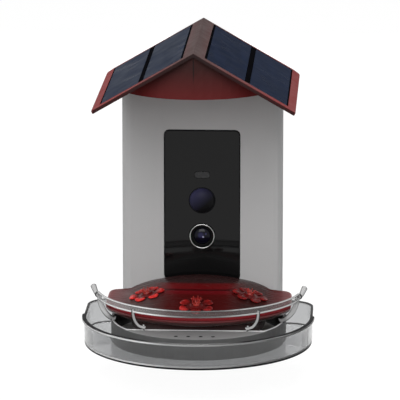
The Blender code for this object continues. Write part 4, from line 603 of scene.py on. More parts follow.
def make_materials():
    LOOKS.update({
        "grey": moulded("grey_plastic", 0.56, 0.55, contrast=0.03, level=0.3),
        "basin": moulded("basin_plastic", 0.2, 0.5, level=0.3, paint=paint_basin),
        # Pale, as a painted highlight on the basin's rim bead
        "basin_rim_highlight": moulded("basin_rim_highlight_plastic", 0.66, 0.35),
        "red": painted(paint_red, "roof_red", (0.15, 0.02, 0.02), 0.6, level=0.08),
        "hood": painted(paint_hood_red, "hood_red", (0.09, 0.02, 0.02), 0.6, level=0.08),
        "cell": painted(
            paint_cell, "solar_cell", (0.02, 0.03, 0.05), 0.3, Metallic=1, Specular_Tint=(0.16, 0.18, 0.215)
        ),
        "black": moulded("black_plastic", (0.012, 0.012, 0.013), 0.45, contrast=0.2),
        "dull_black": moulded("lens_black", 0.006, 0.6, contrast=0.2, level=0.04),
        "strip": moulded("solar_backing", (0.004, 0.004, 0.005), 0.6, contrast=0.2, level=0),
        "rubber": moulded("rubber", (0.03, 0.03, 0.031), 0.75, grain=900, contrast=0.15),
        "collar": moulded("perch_collar", (0.03, 0.031, 0.03), 0.3, contrast=0.2),
        "board": moulded("circuit_board", (0.02, 0.12, 0.05), 0.45, contrast=0.25),
        "battery": moulded("battery_wrap", (0.05, 0.12, 0.3), 0.35, contrast=0.1),
        "clear": painted(
            paint_clear, "clear_tray_plastic", (0.5, 0.505, 0.51), 0.03, Transmission_Weight=1, IOR=1.49
        ),
        # Clear films, with painted light from left to right and painted shade on their outlines
        "perch": make_film(
            "clear_perch_plastic", ((-80, 0.66), (-50, 0.52), (-20, 0.24), (30, 0.2), (80, 0.36)),
            0.05, 0.3, (0.7, 1), 0.15,
        ),
        "bead": make_film(
            "perch_rim",
            ((-80, 0.95), (-40, 0.95), (-22, 0.42), (0, 0.15), (22, 0.24), (45, 0.62), (80, 0.75)),
            0.05, 0.9, (0.55, 0.95), 0.2,
        ),
        # Painted highlight lines on the tray's lip and above its foot
        "painted_highlight_line": make_film(
            "rim_painted_highlight", ((-80, 0.92), (-45, 0.88), (-24, 0.5), (20, 0.4), (60, 0.2)),
            0.3, 0.85, (0.7, 1), 0.2, 0.03,
        ),
        "post": make_film(
            "clear_post_plastic", ((-80, 0.85), (0, 0.8), (80, 0.85)), 0.012, 0.5, (0.03, 0.22), 0.15
        ),
        "wide_post": make_film(
            "clear_wide_post_plastic", ((-80, 0.7), (0, 0.65), (80, 0.6)), 0.012, 0.5, (0.2, 0.5), 0.15
        ),
        "knob": make_film(
            "perch_knob_plastic", ((-100, 0.62), (0, 0.65), (100, 0.68)), 0.06, 0.8, (0.2, 0.75), 0.15, 0.3
        ),
        # Painted shade for the tray's dark lines and the black rings in gaps and holes
        "shade_line": moulded("rim_shade", (0.01, 0.01, 0.0105), 0.5, level=0.03, paint=paint_shade),
        "cover": painted(paint_cover_red, "nectar_red_cover", (0.06, 0.005, 0.005), 0.26, level=0.02),
        "bowl": painted(paint_bowl_red, "nectar_red_bowl", (0.08, 0.01, 0.01), 0.18, level=0.35),
        "flower": painted(paint_flower_red, "flower_red", (0.4, 0.01, 0.01), 0.24, level=0.08),
        "guard": painted(paint_guard_red, "guard_red", (0.5, 0.02, 0.02), 0.3, Coat_Weight=0.2),
        "gloss": make_gloss(),
        "window": polished("smoked_window", (0.02, 0.02, 0.021), 0.3, 300, 0.2, 0.32, level=0.3),
        "chrome": polished("bright_ring", (0.38, 0.38, 0.375), 0.2, 700, 0.12, 0.24, Metallic=1),
        "steel": polished("steel", (0.55, 0.55, 0.56), 0.3, 400, 0.22, 0.4, (1, 1, 6), Metallic=1),
        "glass": painted(paint_glass, "lens_glass", (0.012, 0.01, 0.05), 0.06, level=0.15),
        "dome": painted(paint_dome_black, "sensor_dome", (0.02, 0.02, 0.03), 0.35, level=0.05),
    })


# Mesh helpers

def skin(rings, closed=False):
    """A bmesh through rings of equally many points. The end rings are capped, or joined if closed."""
    data = bmesh.new()
    loops = [[data.verts.new(point) for point in ring] for ring in rings]
    pairs = list(zip(loops, loops[1:]))
    if closed:
        pairs.append((loops[-1], loops[0]))
    else:
        data.faces.new(loops[0][::-1])
        data.faces.new(loops[-1])
    for low, high in pairs:
        for here in range(len(low)):
            there = (here + 1) % len(low)
            data.faces.new((low[here], low[there], high[there], high[here]))
    return data


def smooth(piece, angle):
    piece.data.shade_smooth()
    piece.data.set_sharp_from_angle(angle=math.radians(angle))


def make_loose(name, data, look, angle=40):
    """Turns a bmesh into an object that rides on nothing yet."""
    bmesh.ops.remove_doubles(data, verts=data.verts, dist=1e-7)
    bmesh.ops.dissolve_degenerate(data, dist=1e-7, edges=data.edges)
    bmesh.ops.recalc_face_normals(data, faces=data.faces)
    mesh = bpy.data.meshes.new(name)
    data.to_mesh(mesh)
    data.free()
    mesh.materials.append(LOOKS[look])
    piece = add_object(name, mesh)
    smooth(piece, angle)
    return piece


def place_piece(piece, body, stands_for="", parent=None):
    """Makes a piece ride on a body, and stand for a CAD node if one is named."""
    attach(piece, body)
    if stands_for:
        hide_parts(stands_for)
    if parent:
        piece.parent = parent
        piece.matrix_parent_inverse = Matrix.Identity(4)


def make_piece(name, data, look, body, stands_for="", angle=40, parent=None):
    piece = make_loose(name, data, look, angle)
    place_piece(piece, body, stands_for, parent)
    return piece


def cut_away(piece, tools, angle=40):
    for tool in tools:
        modifier = piece.modifiers.new("cut", "BOOLEAN")
        modifier.operation = "DIFFERENCE"
        modifier.solver = "EXACT"
        modifier.object = tool
    bpy.context.view_layer.update()
    shape = piece.evaluated_get(bpy.context.evaluated_depsgraph_get())
    mesh = bpy.data.meshes.new_from_object(shape)
    piece.modifiers.clear()
    old = piece.data
    piece.data = mesh
    bpy.data.meshes.remove(old)
    for tool in tools:
        bpy.data.objects.remove(tool)
    smooth(piece, angle)


def join_meshes(parts):
    joined = bmesh.new()
    for part in parts:
        mesh = bpy.data.meshes.new("part")
        part.to_mesh(mesh)
        part.free()
        joined.from_mesh(mesh)
        bpy.data.meshes.remove(mesh)
    return joined


def arc(centre, radius, first, last, steps):
    angles = [first + (last - first) * step / steps for step in range(steps + 1)]
    return [(centre[0] + radius * math.cos(a), centre[1] + radius * math.sin(a)) for a in angles]


def circle(count):
    """Cosine and sine at even steps round a circle."""
    turns = [2 * math.pi * step / count for step in range(count)]
    return [(math.cos(turn), math.sin(turn)) for turn in turns]


def quarter_turn(first, last, parts):
    """Cosine and sine at steps of a quarter turn that has so many parts."""
    turns = [math.pi / 2 * step / parts for step in range(first, last + 1)]
    return [(math.cos(turn), math.sin(turn)) for turn in turns]


def rounded(half, low, high, corner, steps):
    """A rounded rectangle, as (across, up) pairs."""
    points = []
    for quarter, (across, up) in enumerate(((half, high), (-half, high), (-half, low), (half, low))):
        middle = (across - math.copysign(corner, across), up - corner if up == high else up + corner)
        points += arc(middle, corner, quarter * math.pi / 2, (quarter + 1) * math.pi / 2, steps)
    return points


def block(low, high):
    points = [(low[0], low[1]), (high[0], low[1]), (high[0], high[1]), (low[0], high[1])]
    return skin([[(x, y, z) for x, y in points] for z in (low[2], high[2])])


def turned(profile, centre, direction, count=96, closed=False):
    """Turns (radius, distance) pairs, in millimetres, round an axis through a centre."""
    turn = direction.to_track_quat("Z", "Y").to_matrix()
    rings = []
    for radius, along in profile:
        ring = [Vector((radius * MM * across, radius * MM * up, along * MM)) for across, up in circle(count)]
        rings.append([Vector(centre) + turn @ flat for flat in ring])
    return skin(rings, closed)


def smooth_route(points, steps):
    """A Catmull-Rom curve through a few points."""
    route = [2 * points[0] - points[1]] + points + [2 * points[-1] - points[-2]]
    curve = []
    for a, b, c, d in zip(route, route[1:], route[2:], route[3:]):
        first, second, third = c - a, 2 * a - 5 * b + 4 * c - d, 3 * b - a - 3 * c + d
        for step in range(steps):
            t = step / steps
            curve.append(b + (first * t + second * t**2 + third * t**3) / 2)
    return curve + [route[-2]]


def tube(route, sizes, flat, count=20):
    """A bar of oval section along a route. Each point has its half sizes, along the flat way and across."""
    rings = []
    for number, point in enumerate(route):
        ahead = route[min(number + 1, len(route) - 1)]
        behind = route[max(number - 1, 0)]
        tangent = (ahead - behind).normalized()
        flat = (flat - tangent * flat.dot(tangent)).normalized()
        beside = tangent.cross(flat)
        along, across = sizes[number]
        rings.append([point + flat * along * c + beside * across * s for c, s in circle(count)])
    return skin(rings)


# Clear tray

# How the lip fades behind the tray's front half: millimetres back and share of its reach
LIP_FADE = ((0.5, 0.92), (1.0, 0.7), (1.5, 0.35), (2.0, 0.1), (2.5, 0), (14, 0), (26, 0))


def tray_ring(inset, z, reach=0.0):
    """The tray's plan at one height. The reach stands out at the front alone, where the lip is."""
    inset = inset + TRAY_DRAFT * (1 - min(z, TRAY_HEIGHT) / TRAY_HEIGHT)
    side, back, bend = TRAY_RADIUS - inset, TRAY_REAR - inset, TRAY_CORNER - inset
    front = arc((0, 0), side + reach, math.pi, 2 * math.pi, 120)
    right = [(side + reach * share, place * MM) for place, share in LIP_FADE]
    right += arc((side - bend, back - bend), bend, 0, math.pi / 2, 16)
    right += [((side - bend) * share, back) for share in (0.75, 0.5, 0.25)]
    left = [(-x, y) for x, y in right[::-1]]
    return [(x, y, z) for x, y in front + right + [(0, back)] + left]


def make_tray():
    """The tray, with painted shade as dark lines at its foot and rim, and painted highlights as light lines
    above the foot and on the lip.
    """
    foot, wall, lip, edge = TRAY_FOOT_ROUND, TRAY_WALL, TRAY_LIP_REACH, TRAY_EDGE
    top, low, soft = TRAY_HEIGHT, TRAY_HEIGHT - TRAY_LIP_HEIGHT, TRAY_EDGE * 0.3
    bend = [(foot * (1 - sine), foot * (1 - cosine)) for cosine, sine in quarter_turn(0, 8, 8)]
    rows = [(foot + 4 * MM, 0), (foot + 0.5 * MM, 0)] + bend + [(0, 1.9 * MM), (0, 3.3 * MM)]
    foot_top = len(rows) - 2
    rows += [(0, foot + (low - foot) * share) for share in (0.4, 0.75)]
    rows += [(0, low - edge), (-soft, low - soft), (0, low, edge), (0, low, lip - edge)]
    rows += [(0, low + soft, lip - soft), (0, low + edge, lip)]
    lip_face = len(rows) - 1
    rows += [(0, top - edge, lip), (0, top - soft, lip - soft)]
    rows += [(edge * 0.5, top, lip - edge * 0.7), (edge, top)]
    rim = len(rows) - 3
    rows += [(wall - edge, top), (wall - soft, top - soft), (wall, top - edge)]
    rows += [(wall, TRAY_FLOOR + foot + (low - foot) * share * 0.8) for share in (0.7, 0.35)]
    rows += [(wall + inset, TRAY_FLOOR + rise) for inset, rise in bend[::-1]]
    rows += [(wall + foot + 0.5 * MM, TRAY_FLOOR), (wall + foot + 4 * MM, TRAY_FLOOR)]
    rings = [tray_ring(*row) for row in rows]
    data = skin(rings)
    data.faces.ensure_lookup_table()
    count = len(rings[0])
    # Rows of faces that take the painted shade (slot 1) and the painted highlights (slot 2)
    lines = ((1, 1, foot_top), (2, foot_top, foot_top + 1), (2, lip_face, lip_face + 1), (1, rim, rim + 5))
    caps = 2
    for slot, first, last in lines:
        for face in data.faces[caps + first * count:caps + last * count]:
            face.material_index = slot
    tray = make_loose("tray", data, "clear")
    tray.data.materials.append(LOOKS["shade_line"])
    tray.data.materials.append(LOOKS["painted_highlight_line"])
    notch = block((-NOTCH_HALF, 50 * MM, NOTCH_LOW), (NOTCH_HALF, 70 * MM, 40 * MM))
    cut_away(tray, [make_loose("notch", notch, "clear")])
    place_piece(tray, "tray", "clear_tray")
    for side, way in SIDES:
        make_tray_rib(side, way, tray)


def make_tray_rib(side, way, tray):
    """A slim upright rib on the inside of the tray's wall, at one side."""
    outward = Vector((way * math.cos(RIB_HEADING), -math.sin(RIB_HEADING), 0))
    across = UP.cross(outward) * RIB_HALF
    radius = TRAY_RADIUS - TRAY_WALL - TRAY_DRAFT
    top, floor = TRAY_HEIGHT / MM, TRAY_FLOOR / MM
    profile = ((0.6, top - 4), (-2.2, top - 4.6), (-3.2, top - 7), (-4.6, floor + 1), (-4.6, floor - 0.4),
               (0.6, floor - 0.4))
    rings = []
    for end in (-1, 1):
        rings.append([outward * (radius + out * MM) + across * end + UP * z * MM for out, z in profile])
    make_piece(f"tray_rib_{side}", skin(rings), "post", "tray", parent=tray)


def make_basin_highlight_bead():
    """The pale rounded bead on the basin's rim and along its chord; its pale colour is a painted highlight.
    """
    radius = BASIN_RADIUS - BASIN_WALL / 2
    right = arc((0, 0), radius, -math.asin(BASIN_CHORD / radius), math.radians(32), 60)
    half = right[0][0]
    points = [(-x, y) for x, y in right[::-1]]
    points += [(half * (2 * step / 24 - 1), -BASIN_CHORD) for step in range(1, 24)] + right
    route = [Vector((x, y, BASIN_TOP + 0.15 * MM)) for x, y in points]
    sizes = [(0.55 * MM, 0.6 * MM)] * len(route)
    make_piece("basin_highlight_bead", tube(route, sizes, UP, 12), "basin_rim_highlight", "stand")


# Nectar feeder

def feeder_plan():
    """The nectar feeder's outline, with many points."""
    half_angle = math.asin(FEEDER_HALF_WIDTH / FEEDER_ARC_RADIUS)
    down = -math.pi / 2
    front = arc((0, FEEDER_ARC_CENTRE), FEEDER_ARC_RADIUS, down - half_angle, down + half_angle, 84)
    bend = (FEEDER_HALF_WIDTH - EAR_CORNER, EAR_REAR - EAR_CORNER)
    right = [(FEEDER_HALF_WIDTH, bend[1] * share) for share in (0.25, 0.5, 0.75)]
    right += arc(bend, EAR_CORNER, 0, math.pi / 2, 10)
    first = math.asin((EAR_REAR - SHOULDER_CENTRE) / SHOULDER_RADIUS)
    last = math.asin((FEEDER_REAR - SHOULDER_CENTRE) / SHOULDER_RADIUS)
    right += arc((0, SHOULDER_CENTRE), SHOULDER_RADIUS, first, last, 14)
    half = SHOULDER_RADIUS * math.cos(last)
    flat = [(half * (1 - 2 * step / 24), FEEDER_REAR) for step in range(1, 24)]
    return front + right + flat + [(-x, y) for x, y in right[::-1]]


PLAN = feeder_plan()


def dome_depth(y):
    return DOME_REAR_DEPTH if y > DOME_CENTRE else DOME_FRONT_DEPTH


def dome_share(x, y):
    """0 at the crown's middle and 1 where the dome ends."""
    return math.hypot(x / DOME_HALF_WIDTH, (y - DOME_CENTRE) / dome_depth(y))


def dome_height(x, y):
    return COVER_TOP + DOME_RISE * (1 - min(dome_share(x, y), 1) ** DOME_POWER)


def plan_ring(scale, z=None, drop=0.0):
    """The outline drawn in about the dome's middle, level at z or else a drop below the dome."""
    ring = []
    for x, y in PLAN:
        px, py = x * scale, DOME_CENTRE + (y - DOME_CENTRE) * scale
        ring.append((px, py, dome_height(px, py) - drop if z is None else z))
    return ring


def well_ring(scale, z):
    """The well's oval, with a point for each point of the outline."""
    ring = []
    for x, y in PLAN:
        turn = math.atan2((y - DOME_CENTRE) / WELL_HALF_DEPTH, x / WELL_HALF_WIDTH)
        across = WELL_HALF_WIDTH * scale * math.cos(turn)
        ring.append((across, WELL_CENTRE + WELL_HALF_DEPTH * scale * math.sin(turn), z))
    return ring


def flower_axis(x, y):
    """A point on the dome and the direction that stands square to it."""
    slope = DOME_RISE * DOME_POWER * dome_share(x, y) ** (DOME_POWER - 2)
    lean = Vector((slope * x / DOME_HALF_WIDTH**2, slope * (y - DOME_CENTRE) / dome_depth(y) ** 2, 1))
    return Vector((x, y, dome_height(x, y))), lean.normalized()


def make_cover():
    """The domed cover: its inside from the crown out, its edge, and its outside back to the crown."""
    inside = (0.02, 0.1, 0.2, 0.3, 0.4, 0.5, 0.6, 0.7, 0.8, 0.88, 0.94)
    edge = ((0.955, COVER_EDGE / 2), (0.957, 0), (0.996, 0), (1, 0.4 * MM), (1, 1 * MM))
    outside = (0.93, 0.9, 0.86, 0.82, 0.78, 0.74, 0.7, 0.65, 0.6, 0.55, 0.5, 0.45, 0.4, 0.35, 0.3, 0.25, 0.2,
               0.16, 0.12, 0.09, 0.06, 0.03, 0.012)
    rings = [plan_ring(share, drop=SHELL) for share in inside]
    rings += [plan_ring(share, COVER_LOW + rise) for share, rise in edge]
    for cosine, sine in quarter_turn(0, 7, 7):
        rings.append(plan_ring(1 - 0.045 * (1 - cosine), drop=COVER_EDGE * (1 - sine)))
    rings += [plan_ring(share) for share in outside]
    cover = make_loose("nectar_cover", skin(rings), "cover", 50)
    tools = []
    for side, place in FLOWERS.items():
        hole = turned([(4.9, -10), (4.9, 10)], *flower_axis(*place), 40)
        tools.append(make_loose(f"hole_{side}", hole, "cover"))
    cut_away(cover, tools, 50)
    place_piece(cover, "feeder_top", "feeder_cover")


def make_bowl():
    """The bowl: its well and side from below, its rim, and its inside back to the well's floor."""
    rise = BOWL_RIM - BOWL_UNDERSIDE
    span = BOWL_UNDERSIDE - SHELL - WELL_BOTTOM
    well = ((0.78, 0), (0.85, 0.05), (0.9, 0.15), (0.94, 0.3), (0.97, 0.5), (1, 0.9))
    side = (
        (0.86, 0), (0.895, 0.03), (0.925, 0.1), (0.95, 0.22), (0.97, 0.38), (0.985, 0.56), (0.994, 0.74),
        (1, 0.9), (0.999, 0.97), (0.995, 1), (0.975, 1), (0.97, 0.97), (0.97, 0.74), (0.95, 0.6),
        (0.92, 0.45), (0.84, 0.3),
    )
    rings = [well_ring(scale, WELL_BOTTOM) for scale in (0.4, 0.7)]
    rings += [well_ring(scale, WELL_BOTTOM + share * span) for scale, share in well]
    rings += [plan_ring(scale, BOWL_UNDERSIDE + share * rise) for scale, share in side]
    for scale, share in well[::-1]:
        rings.append(well_ring(scale - SHELL / WELL_HALF_DEPTH, WELL_BOTTOM + SHELL + share * span))
    rings += [well_ring(scale, WELL_BOTTOM + SHELL) for scale in (0.5, 0.2)]
    bowl = make_piece(
        "nectar_dish", skin(rings), "bowl", "nectar_feeder", "nectar_bowl", angle=55
    )
    profile = [(2.4, 0), (2.9, 0.3), (3, 0.8), (3, 2)]
    for number, (x, y) in enumerate(DISH_FEET, 1):
        foot = turned(profile, (x * MM, y * MM, DISH_FOOT_LOW), UP, 32)
        make_piece(f"dish_foot_{number}", foot, "bowl", "nectar_feeder", parent=bowl)


# Sections of a petal, in millimetres: reach, half width, top and underside
PETAL = (
    (4.4, 2.1, 1.2, 0.1), (6.2, 2.3, 1.1, 0.0), (7.6, 2.8, 1.2, 0.0), (8.7, 3.6, 1.7, -0.1),
    (9.8, 4.5, 2.3, -0.2), (11.2, 5.1, 2.8, -0.3), (12.6, 5.3, 3.0, -0.3), (13.9, 4.9, 2.8, -0.3),
    (15.0, 4.0, 2.3, -0.2), (15.8, 2.8, 1.8, 0.0), (16.3, 1.4, 1.3, 0.3), (16.5, 0.4, 0.9, 0.6),
)
PETAL_POINTS = 20
BLOOM_RING = (
    (3.2, -4), (4.4, -4), (4.6, -3.8), (4.6, -0.2), (4.8, 0), (8.0, 0), (8.3, 0.3), (8.2, 0.8), (7.6, 1.1),
    (6.6, 1.1), (5.8, 1.3), (5.2, 1.8), (4.6, 2.3), (4.0, 2.4), (3.4, 2.2), (3.2, 1.8),
)
GUARD_RING = ((1.6, -3), (2.9, -3), (2.9, 3.0), (2.7, 3.3), (1.9, 3.3), (1.6, 3.0))


def petal(angle, turn, start):
    """A petal with a slim neck and a round, slightly dimpled end, and its share of the bright tip."""
    rings = []
    for reach, half, top, low in PETAL:
        middle, rise = (top + low) / 2, (top - low) / 2
        ring = []
        for across, up in circle(PETAL_POINTS):
            dimple = 0.34 * top * math.exp(-(across / 0.5) ** 2) if up > 0 else 0
            flat = Vector((reach, half * across, middle + rise * up - dimple)) * MM
            flat.rotate(Matrix.Rotation(angle, 3, "Z"))
            ring.append(start + turn @ flat)
        rings.append(ring)
    data = skin(rings)
    tip = data.verts.layers.float.new("tip")
    for number, vert in enumerate(data.verts):
        vert[tip] = (PETAL[number // PETAL_POINTS][0] - 4) / 10
    return data


def stamen(number, front, start, turn):
    """A thin stalk with a thicker end, which leans out from the bee guard's rim."""
    spin = 2 * math.pi * (number + 0.3) / STAMEN_COUNT
    outward = Vector((math.cos(spin), math.sin(spin), 0))
    lean, length = (0.75, 3.0) if number % 2 else (0.35, 6.6 if front else 4.2)
    root = outward * 2.25 * MM + UP * 2.6 * MM
    way = (UP + outward * lean).normalized()
    profile = [(0.5, 0), (0.42, 1.2), (0.3, length - 0.9), (0.45, length - 0.6)]
    profile += [(0.5, length - 0.25), (0.3, length)]
    return turned(profile, start + turn @ root, turn @ way, 12)


def make_flower(side):
    point, direction = flower_axis(*FLOWERS[side])
    turn = direction.to_track_quat("Z", "Y").to_matrix()
    start = point + direction * 0.3 * MM
    parts = [turned(BLOOM_RING, start, direction, 64, closed=True)]
    for number in range(PETAL_COUNT):
        parts.append(petal(2 * math.pi * number / PETAL_COUNT + PETAL_TURN[side], turn, start))
    flower = make_piece(
        f"bloom_{side}", join_meshes(parts), "flower", "feeder_top", f"flower_{side}", angle=60
    )
    flower.modifiers.new("round", "SUBSURF").render_levels = 1
    parts = [turned(GUARD_RING, start, direction, 40, closed=True)]
    parts += [stamen(number, side == "front", start, turn) for number in range(STAMEN_COUNT)]
    make_piece(f"stamens_{side}", join_meshes(parts), "guard", "feeder_top", f"bee_guard_{side}")


# Perch

def rail_point(angle, radius=RAIL_RADIUS):
    return (radius * math.sin(angle), RAIL_CENTRE - radius * math.cos(angle))


def rail_bar(low, high, half):
    corner = min(half, (high - low) / 2) - 0.02 * MM
    section = rounded(half, low, high, corner, 5)
    rings = []
    for step in range(121):
        angle = RAIL_SPREAD * (2 * step / 120 - 1)
        rings.append([(*rail_point(angle, RAIL_RADIUS + across), RAIL_Z + up) for across, up in section])
    return skin(rings)


def make_perch():
    """The clear band with a bead along its top and foot, its four posts and its knobs."""
    half = RAIL_HEIGHT / 2
    low, high = LOW_BEAD - half, half - TOP_BEAD
    rail = make_piece(
        "perch_band", rail_bar(low, high, BAND_HALF), "perch", "perch", "perch_rail"
    )
    for name, bottom, top in (("perch_rim_top", high, half), ("perch_rim_low", -half, low)):
        bar = rail_bar(bottom, top, RAIL_THICKNESS / 2)
        make_piece(name, bar, "bead", "perch", parent=rail)
    rim = BASIN_RADIUS - BASIN_WALL / 2
    foot_x, foot_y = rim * math.cos(OUTER_FOOT_HEADING), -rim * math.sin(OUTER_FOOT_HEADING)
    chord_y = -BASIN_CHORD - POST_THICKNESS / 2
    inner_angle = math.asin(INNER_POST_TOP_X / RAIL_RADIUS)
    outer_angle = RAIL_SPREAD - OUTER_POST_INSET
    for side, way in SIDES:
        add_post(f"post_inner_{side}", way * inner_angle, (way * INNER_POST_FOOT_X, chord_y),
                 ((0.07, 0.48), (0.42, 0.86)), INNER_POST_WIDTH, "post", rail)
        add_post(f"post_outer_{side}", way * outer_angle, (way * foot_x, foot_y),
                 ((0.1, 0.38), (0.32, 0.72), (0.64, 0.93)), OUTER_POST_WIDTH, "wide_post", rail)
        make_handle(side, way)
        add_clip(side, way, rail)


def add_post(name, angle, foot, bends, width, look, rail):
    """A post from the rail down to the basin. Bends are shares of the way in and down."""
    top = Vector((*rail_point(angle), RAIL_Z))
    foot = Vector((*foot, BASIN_TOP + POST_GAP + width / 2))
    reach = foot - top
    middle = [top + Vector((reach.x * inward, reach.y * inward, reach.z * down)) for inward, down in bends]
    route = smooth_route([top] + middle + [foot], 10)
    sizes = []
    for number in range(len(route)):
        end = len(route) - 1 - number
        flare = 1 + 0.35 * max(1 - end / 4, 0) ** 2
        sizes.append((POST_THICKNESS / 2, width / 2 * flare))
    make_piece(name, tube(route, sizes, -FORWARD), look, "perch", parent=rail)


def add_clip(side, way, rail):
    """A small clip at an inner post's foot."""
    x, y = way * CLIP_X, -BASIN_CHORD - 0.4 * MM
    corners = ((-1, -1), (1, -1), (1, 1), (-1, 1))
    rings = []
    for z, half in ((22.3, 0.9), (22.8, 1.0), (26.6, 0.8), (27.2, 0.5)):
        rings.append([(x + a * half * MM, y + b * 0.7 * MM, z * MM) for a, b in corners])
    make_piece(f"post_clip_{side}", skin(rings), "bead", "perch", parent=rail)


def make_handle(side, way):
    """The knob at an end of the rail, with its collar."""
    start = Vector((*rail_point(way * RAIL_SPREAD), RAIL_Z))
    along = Vector((way * math.cos(KNOB_HEADING), math.sin(KNOB_HEADING), 0)) * KNOB_LENGTH
    bends = [start + along * out + UP * KNOB_RISE * rise for out, rise in ((0.35, 0.15), (0.8, 1))]
    route = smooth_route([start] + bends, 12)
    sizes = []
    for number in range(len(route)):
        share = number / (len(route) - 1)
        radius = KNOB_ROOT_RADIUS + (KNOB_RADIUS - KNOB_ROOT_RADIUS) * share**1.4
        if number < 4:
            radius = max(radius, (2.3 - 0.15 * number) * MM)
        sizes.append((radius, radius))
    tip = (route[-1] - route[-2]).normalized()
    end = route[-1]
    for cosine, sine in quarter_turn(1, 6, 6.3):
        route.append(end + tip * KNOB_RADIUS * 0.55 * sine)
        sizes.append((KNOB_RADIUS * cosine, KNOB_RADIUS * cosine))
    make_piece(
        f"perch_knob_{side}", tube(route, sizes, UP, 28), "knob", "perch",
        f"perch_handle_{side}",
    )
    ring = [(1.9, -0.6), (2.5, -0.6), (2.75, -0.35), (2.75, 0.35), (2.5, 0.6), (1.9, 0.6)]
    collar = turned(ring, route[4], (route[5] - route[3]).normalized(), 32, closed=True)
    make_piece(f"perch_collar_{side}", collar, "collar", "perch")


# Camera front

def front_piece(name, profile, y, z, look, stands_for="", closed=False):
    """A turned piece that faces forward on the object's middle."""
    data = turned(profile, (0, y, z), FORWARD, closed=closed)
    make_piece(name, data, look, "stand", stands_for)


def make_sensor_dome():
    """The motion sensor's dome: smooth outside, with its flange behind the panel."""
    radius, rise, wall, flange = 11.6, 5, 1.2, 1.8
    neck = (PIR_BACK - PANEL_FACE) / MM
    turns = quarter_turn(1, 14, 15)
    inside = [((radius - wall) * cosine, neck + (rise - wall) * sine) for cosine, sine in turns]
    profile = inside[::-1] + [(radius - wall, neck), (radius - wall, 0), (radius + flange, 0)]
    profile += [(radius + flange, wall), (radius, wall), (radius, neck)]
    profile += [(radius * cosine, neck + rise * sine) for cosine, sine in turns]
    front_piece("motion_dome", profile, PIR_BACK, PIR_Z, "dome", "pir_dome")


def make_lens():
    outer, inner, edge, deep = 11.5, 10.6, 0.25, -3
    soft = edge * 0.3
    profile = [
        (outer, deep), (outer, -edge), (outer - soft, -soft), (outer - edge, 0),
        (inner + edge, 0), (inner + soft, -soft), (inner, -edge), (inner, deep),
    ]
    front_piece("lens_bezel", profile, LENS_BEZEL_Y, LENS_Z, "chrome", "lens_ring", True)
    profile = [
        (10.0, -8.5), (10.0, -0.2), (9.8, 0), (9.0, 0), (8.8, -0.2), (8.8, -0.5), (8.4, -0.6), (8.4, -0.9),
        (8.0, -1.0), (8.0, -2.6), (4.6, -2.6), (4.6, -5.2),
    ]
    front_piece("lens_housing", profile, PANEL_FACE, LENS_Z, "dull_black", "lens_barrel")
    profile = [(4.3, -4.9), (4.3, -2.5), (7.5, -2.5), (7.6, -2.3), (7.6, -1.6)]
    profile += [(7.6 * cosine, -1.6 + 2.0 * sine) for cosine, sine in quarter_turn(1, 11, 12)]
    front_piece("lens_element", profile, PANEL_FACE, LENS_Z, "glass", "lens_glass")


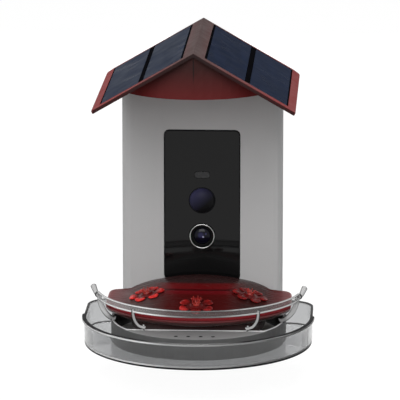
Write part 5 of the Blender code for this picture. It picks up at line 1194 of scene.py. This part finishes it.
def make_shade_rings():
    """Black rings that paint shade: in the gap round the glossy panel, round the motion sensor and in the
    basin's drain holes.
    """
    low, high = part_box("camera_panel")
    half = high.x - 0.05 * MM
    outer = rounded(half, low.z + 0.05 * MM, high.z - 0.05 * MM, 4.4 * MM, 10)
    inner = rounded(half - 0.75 * MM, low.z + 0.7 * MM, high.z - 1.35 * MM, 3.8 * MM, 10)
    front, back = PANEL_FACE - 0.45 * MM, PANEL_FACE + 0.05 * MM
    lines = ((outer, front), (outer, back), (inner, back), (inner, front))
    rings = [[(x, y, z) for x, z in line] for line, y in lines]
    make_piece("panel_gap_painted_shade", skin(rings, True), "shade_line", "stand")
    ring = [(11.7, -0.05), (12.4, -0.05), (12.4, 0.15), (12.3, 0.2), (11.8, 0.2), (11.7, 0.15)]
    front_piece("dome_gap_painted_shade", ring, PANEL_FACE, PIR_Z, "shade_line", closed=True)
    ring = [(0.8, -1.6), (1.55, -1.6), (1.55, 0.0), (1.75, 0.02), (1.75, 0.12), (1.0, 0.12), (0.8, -0.1)]
    hole_painted_shades = [turned(ring, (x * MM, DRAIN_Y, BASIN_TOP), UP, 24, True) for x in (-16.5, -5.5, 5.5, 16.5)]
    make_piece("drain_hole_painted_shades", join_meshes(hole_painted_shades), "shade_line", "stand")


# CAD nodes that stay

SOLAR_CELLS = [f"solar_cell_{side}_{place}" for side, _ in SIDES for place in ("inner", "outer")]
SCREWS = [f"{kind}_screw_{number}" for kind in ("rear", "hood") for number in (1, 2, 3, 4)]
NODE_LOOKS = {
    "grey": ["column_shell", "rear_cover"],
    "basin": ["feed_base"],
    "red": ["roof_shell"],
    "hood": ["hood"],
    "strip": ["solar_frame_left", "solar_frame_right"],
    "cell": SOLAR_CELLS,
    "black": ["camera_case", "image_sensor", "power_switch"],
    "gloss": ["camera_panel"],
    "window": ["ir_window"],
    "rubber": ["panel_gasket", "bowl_seal", "power_button", "port_cover"],
    "steel": SCREWS + [
        "base_screw_left", "base_screw_right", "hinge_pin_left", "hinge_pin_right", "pir_sensor",
        "usb_socket",
    ],
    "board": ["main_board", "port_board"],
    "battery": ["battery"],
}
BEVELS = {
    "column_shell": 0.4, "rear_cover": 0.5, "feed_base": 0.5, "hood": 0.4, "camera_panel": 0.25,
    "ir_window": 0.2, "power_button": 0.3, "port_cover": 0.25, "camera_case": 0.3, "battery": 1.0,
    "usb_socket": 0.1,
    **{cell: 0.12 for cell in SOLAR_CELLS},
}


def dress_nodes():
    for look, names in NODE_LOOKS.items():
        for name in names:
            for slot in nodes[name].material_slots:
                slot.material = LOOKS[look]
    for name, width in BEVELS.items():
        node = nodes[name]
        node.modifiers.new("weld", "WELD").merge_threshold = 0.001 * MM
        bevel = node.modifiers.new("edges", "BEVEL")
        bevel.width = width * MM
        bevel.segments = 3
        bevel.limit_method = "ANGLE"
        bevel.angle_limit = math.radians(40)
        bevel.harden_normals = True
        bevel.use_clamp_overlap = True


def main():
    make_studio()
    make_materials()
    dress_nodes()
    make_tray()
    make_basin_highlight_bead()
    make_cover()
    make_bowl()
    for side in FLOWERS:
        make_flower(side)
    make_perch()
    make_sensor_dome()
    make_lens()
    make_shade_rings()


main()
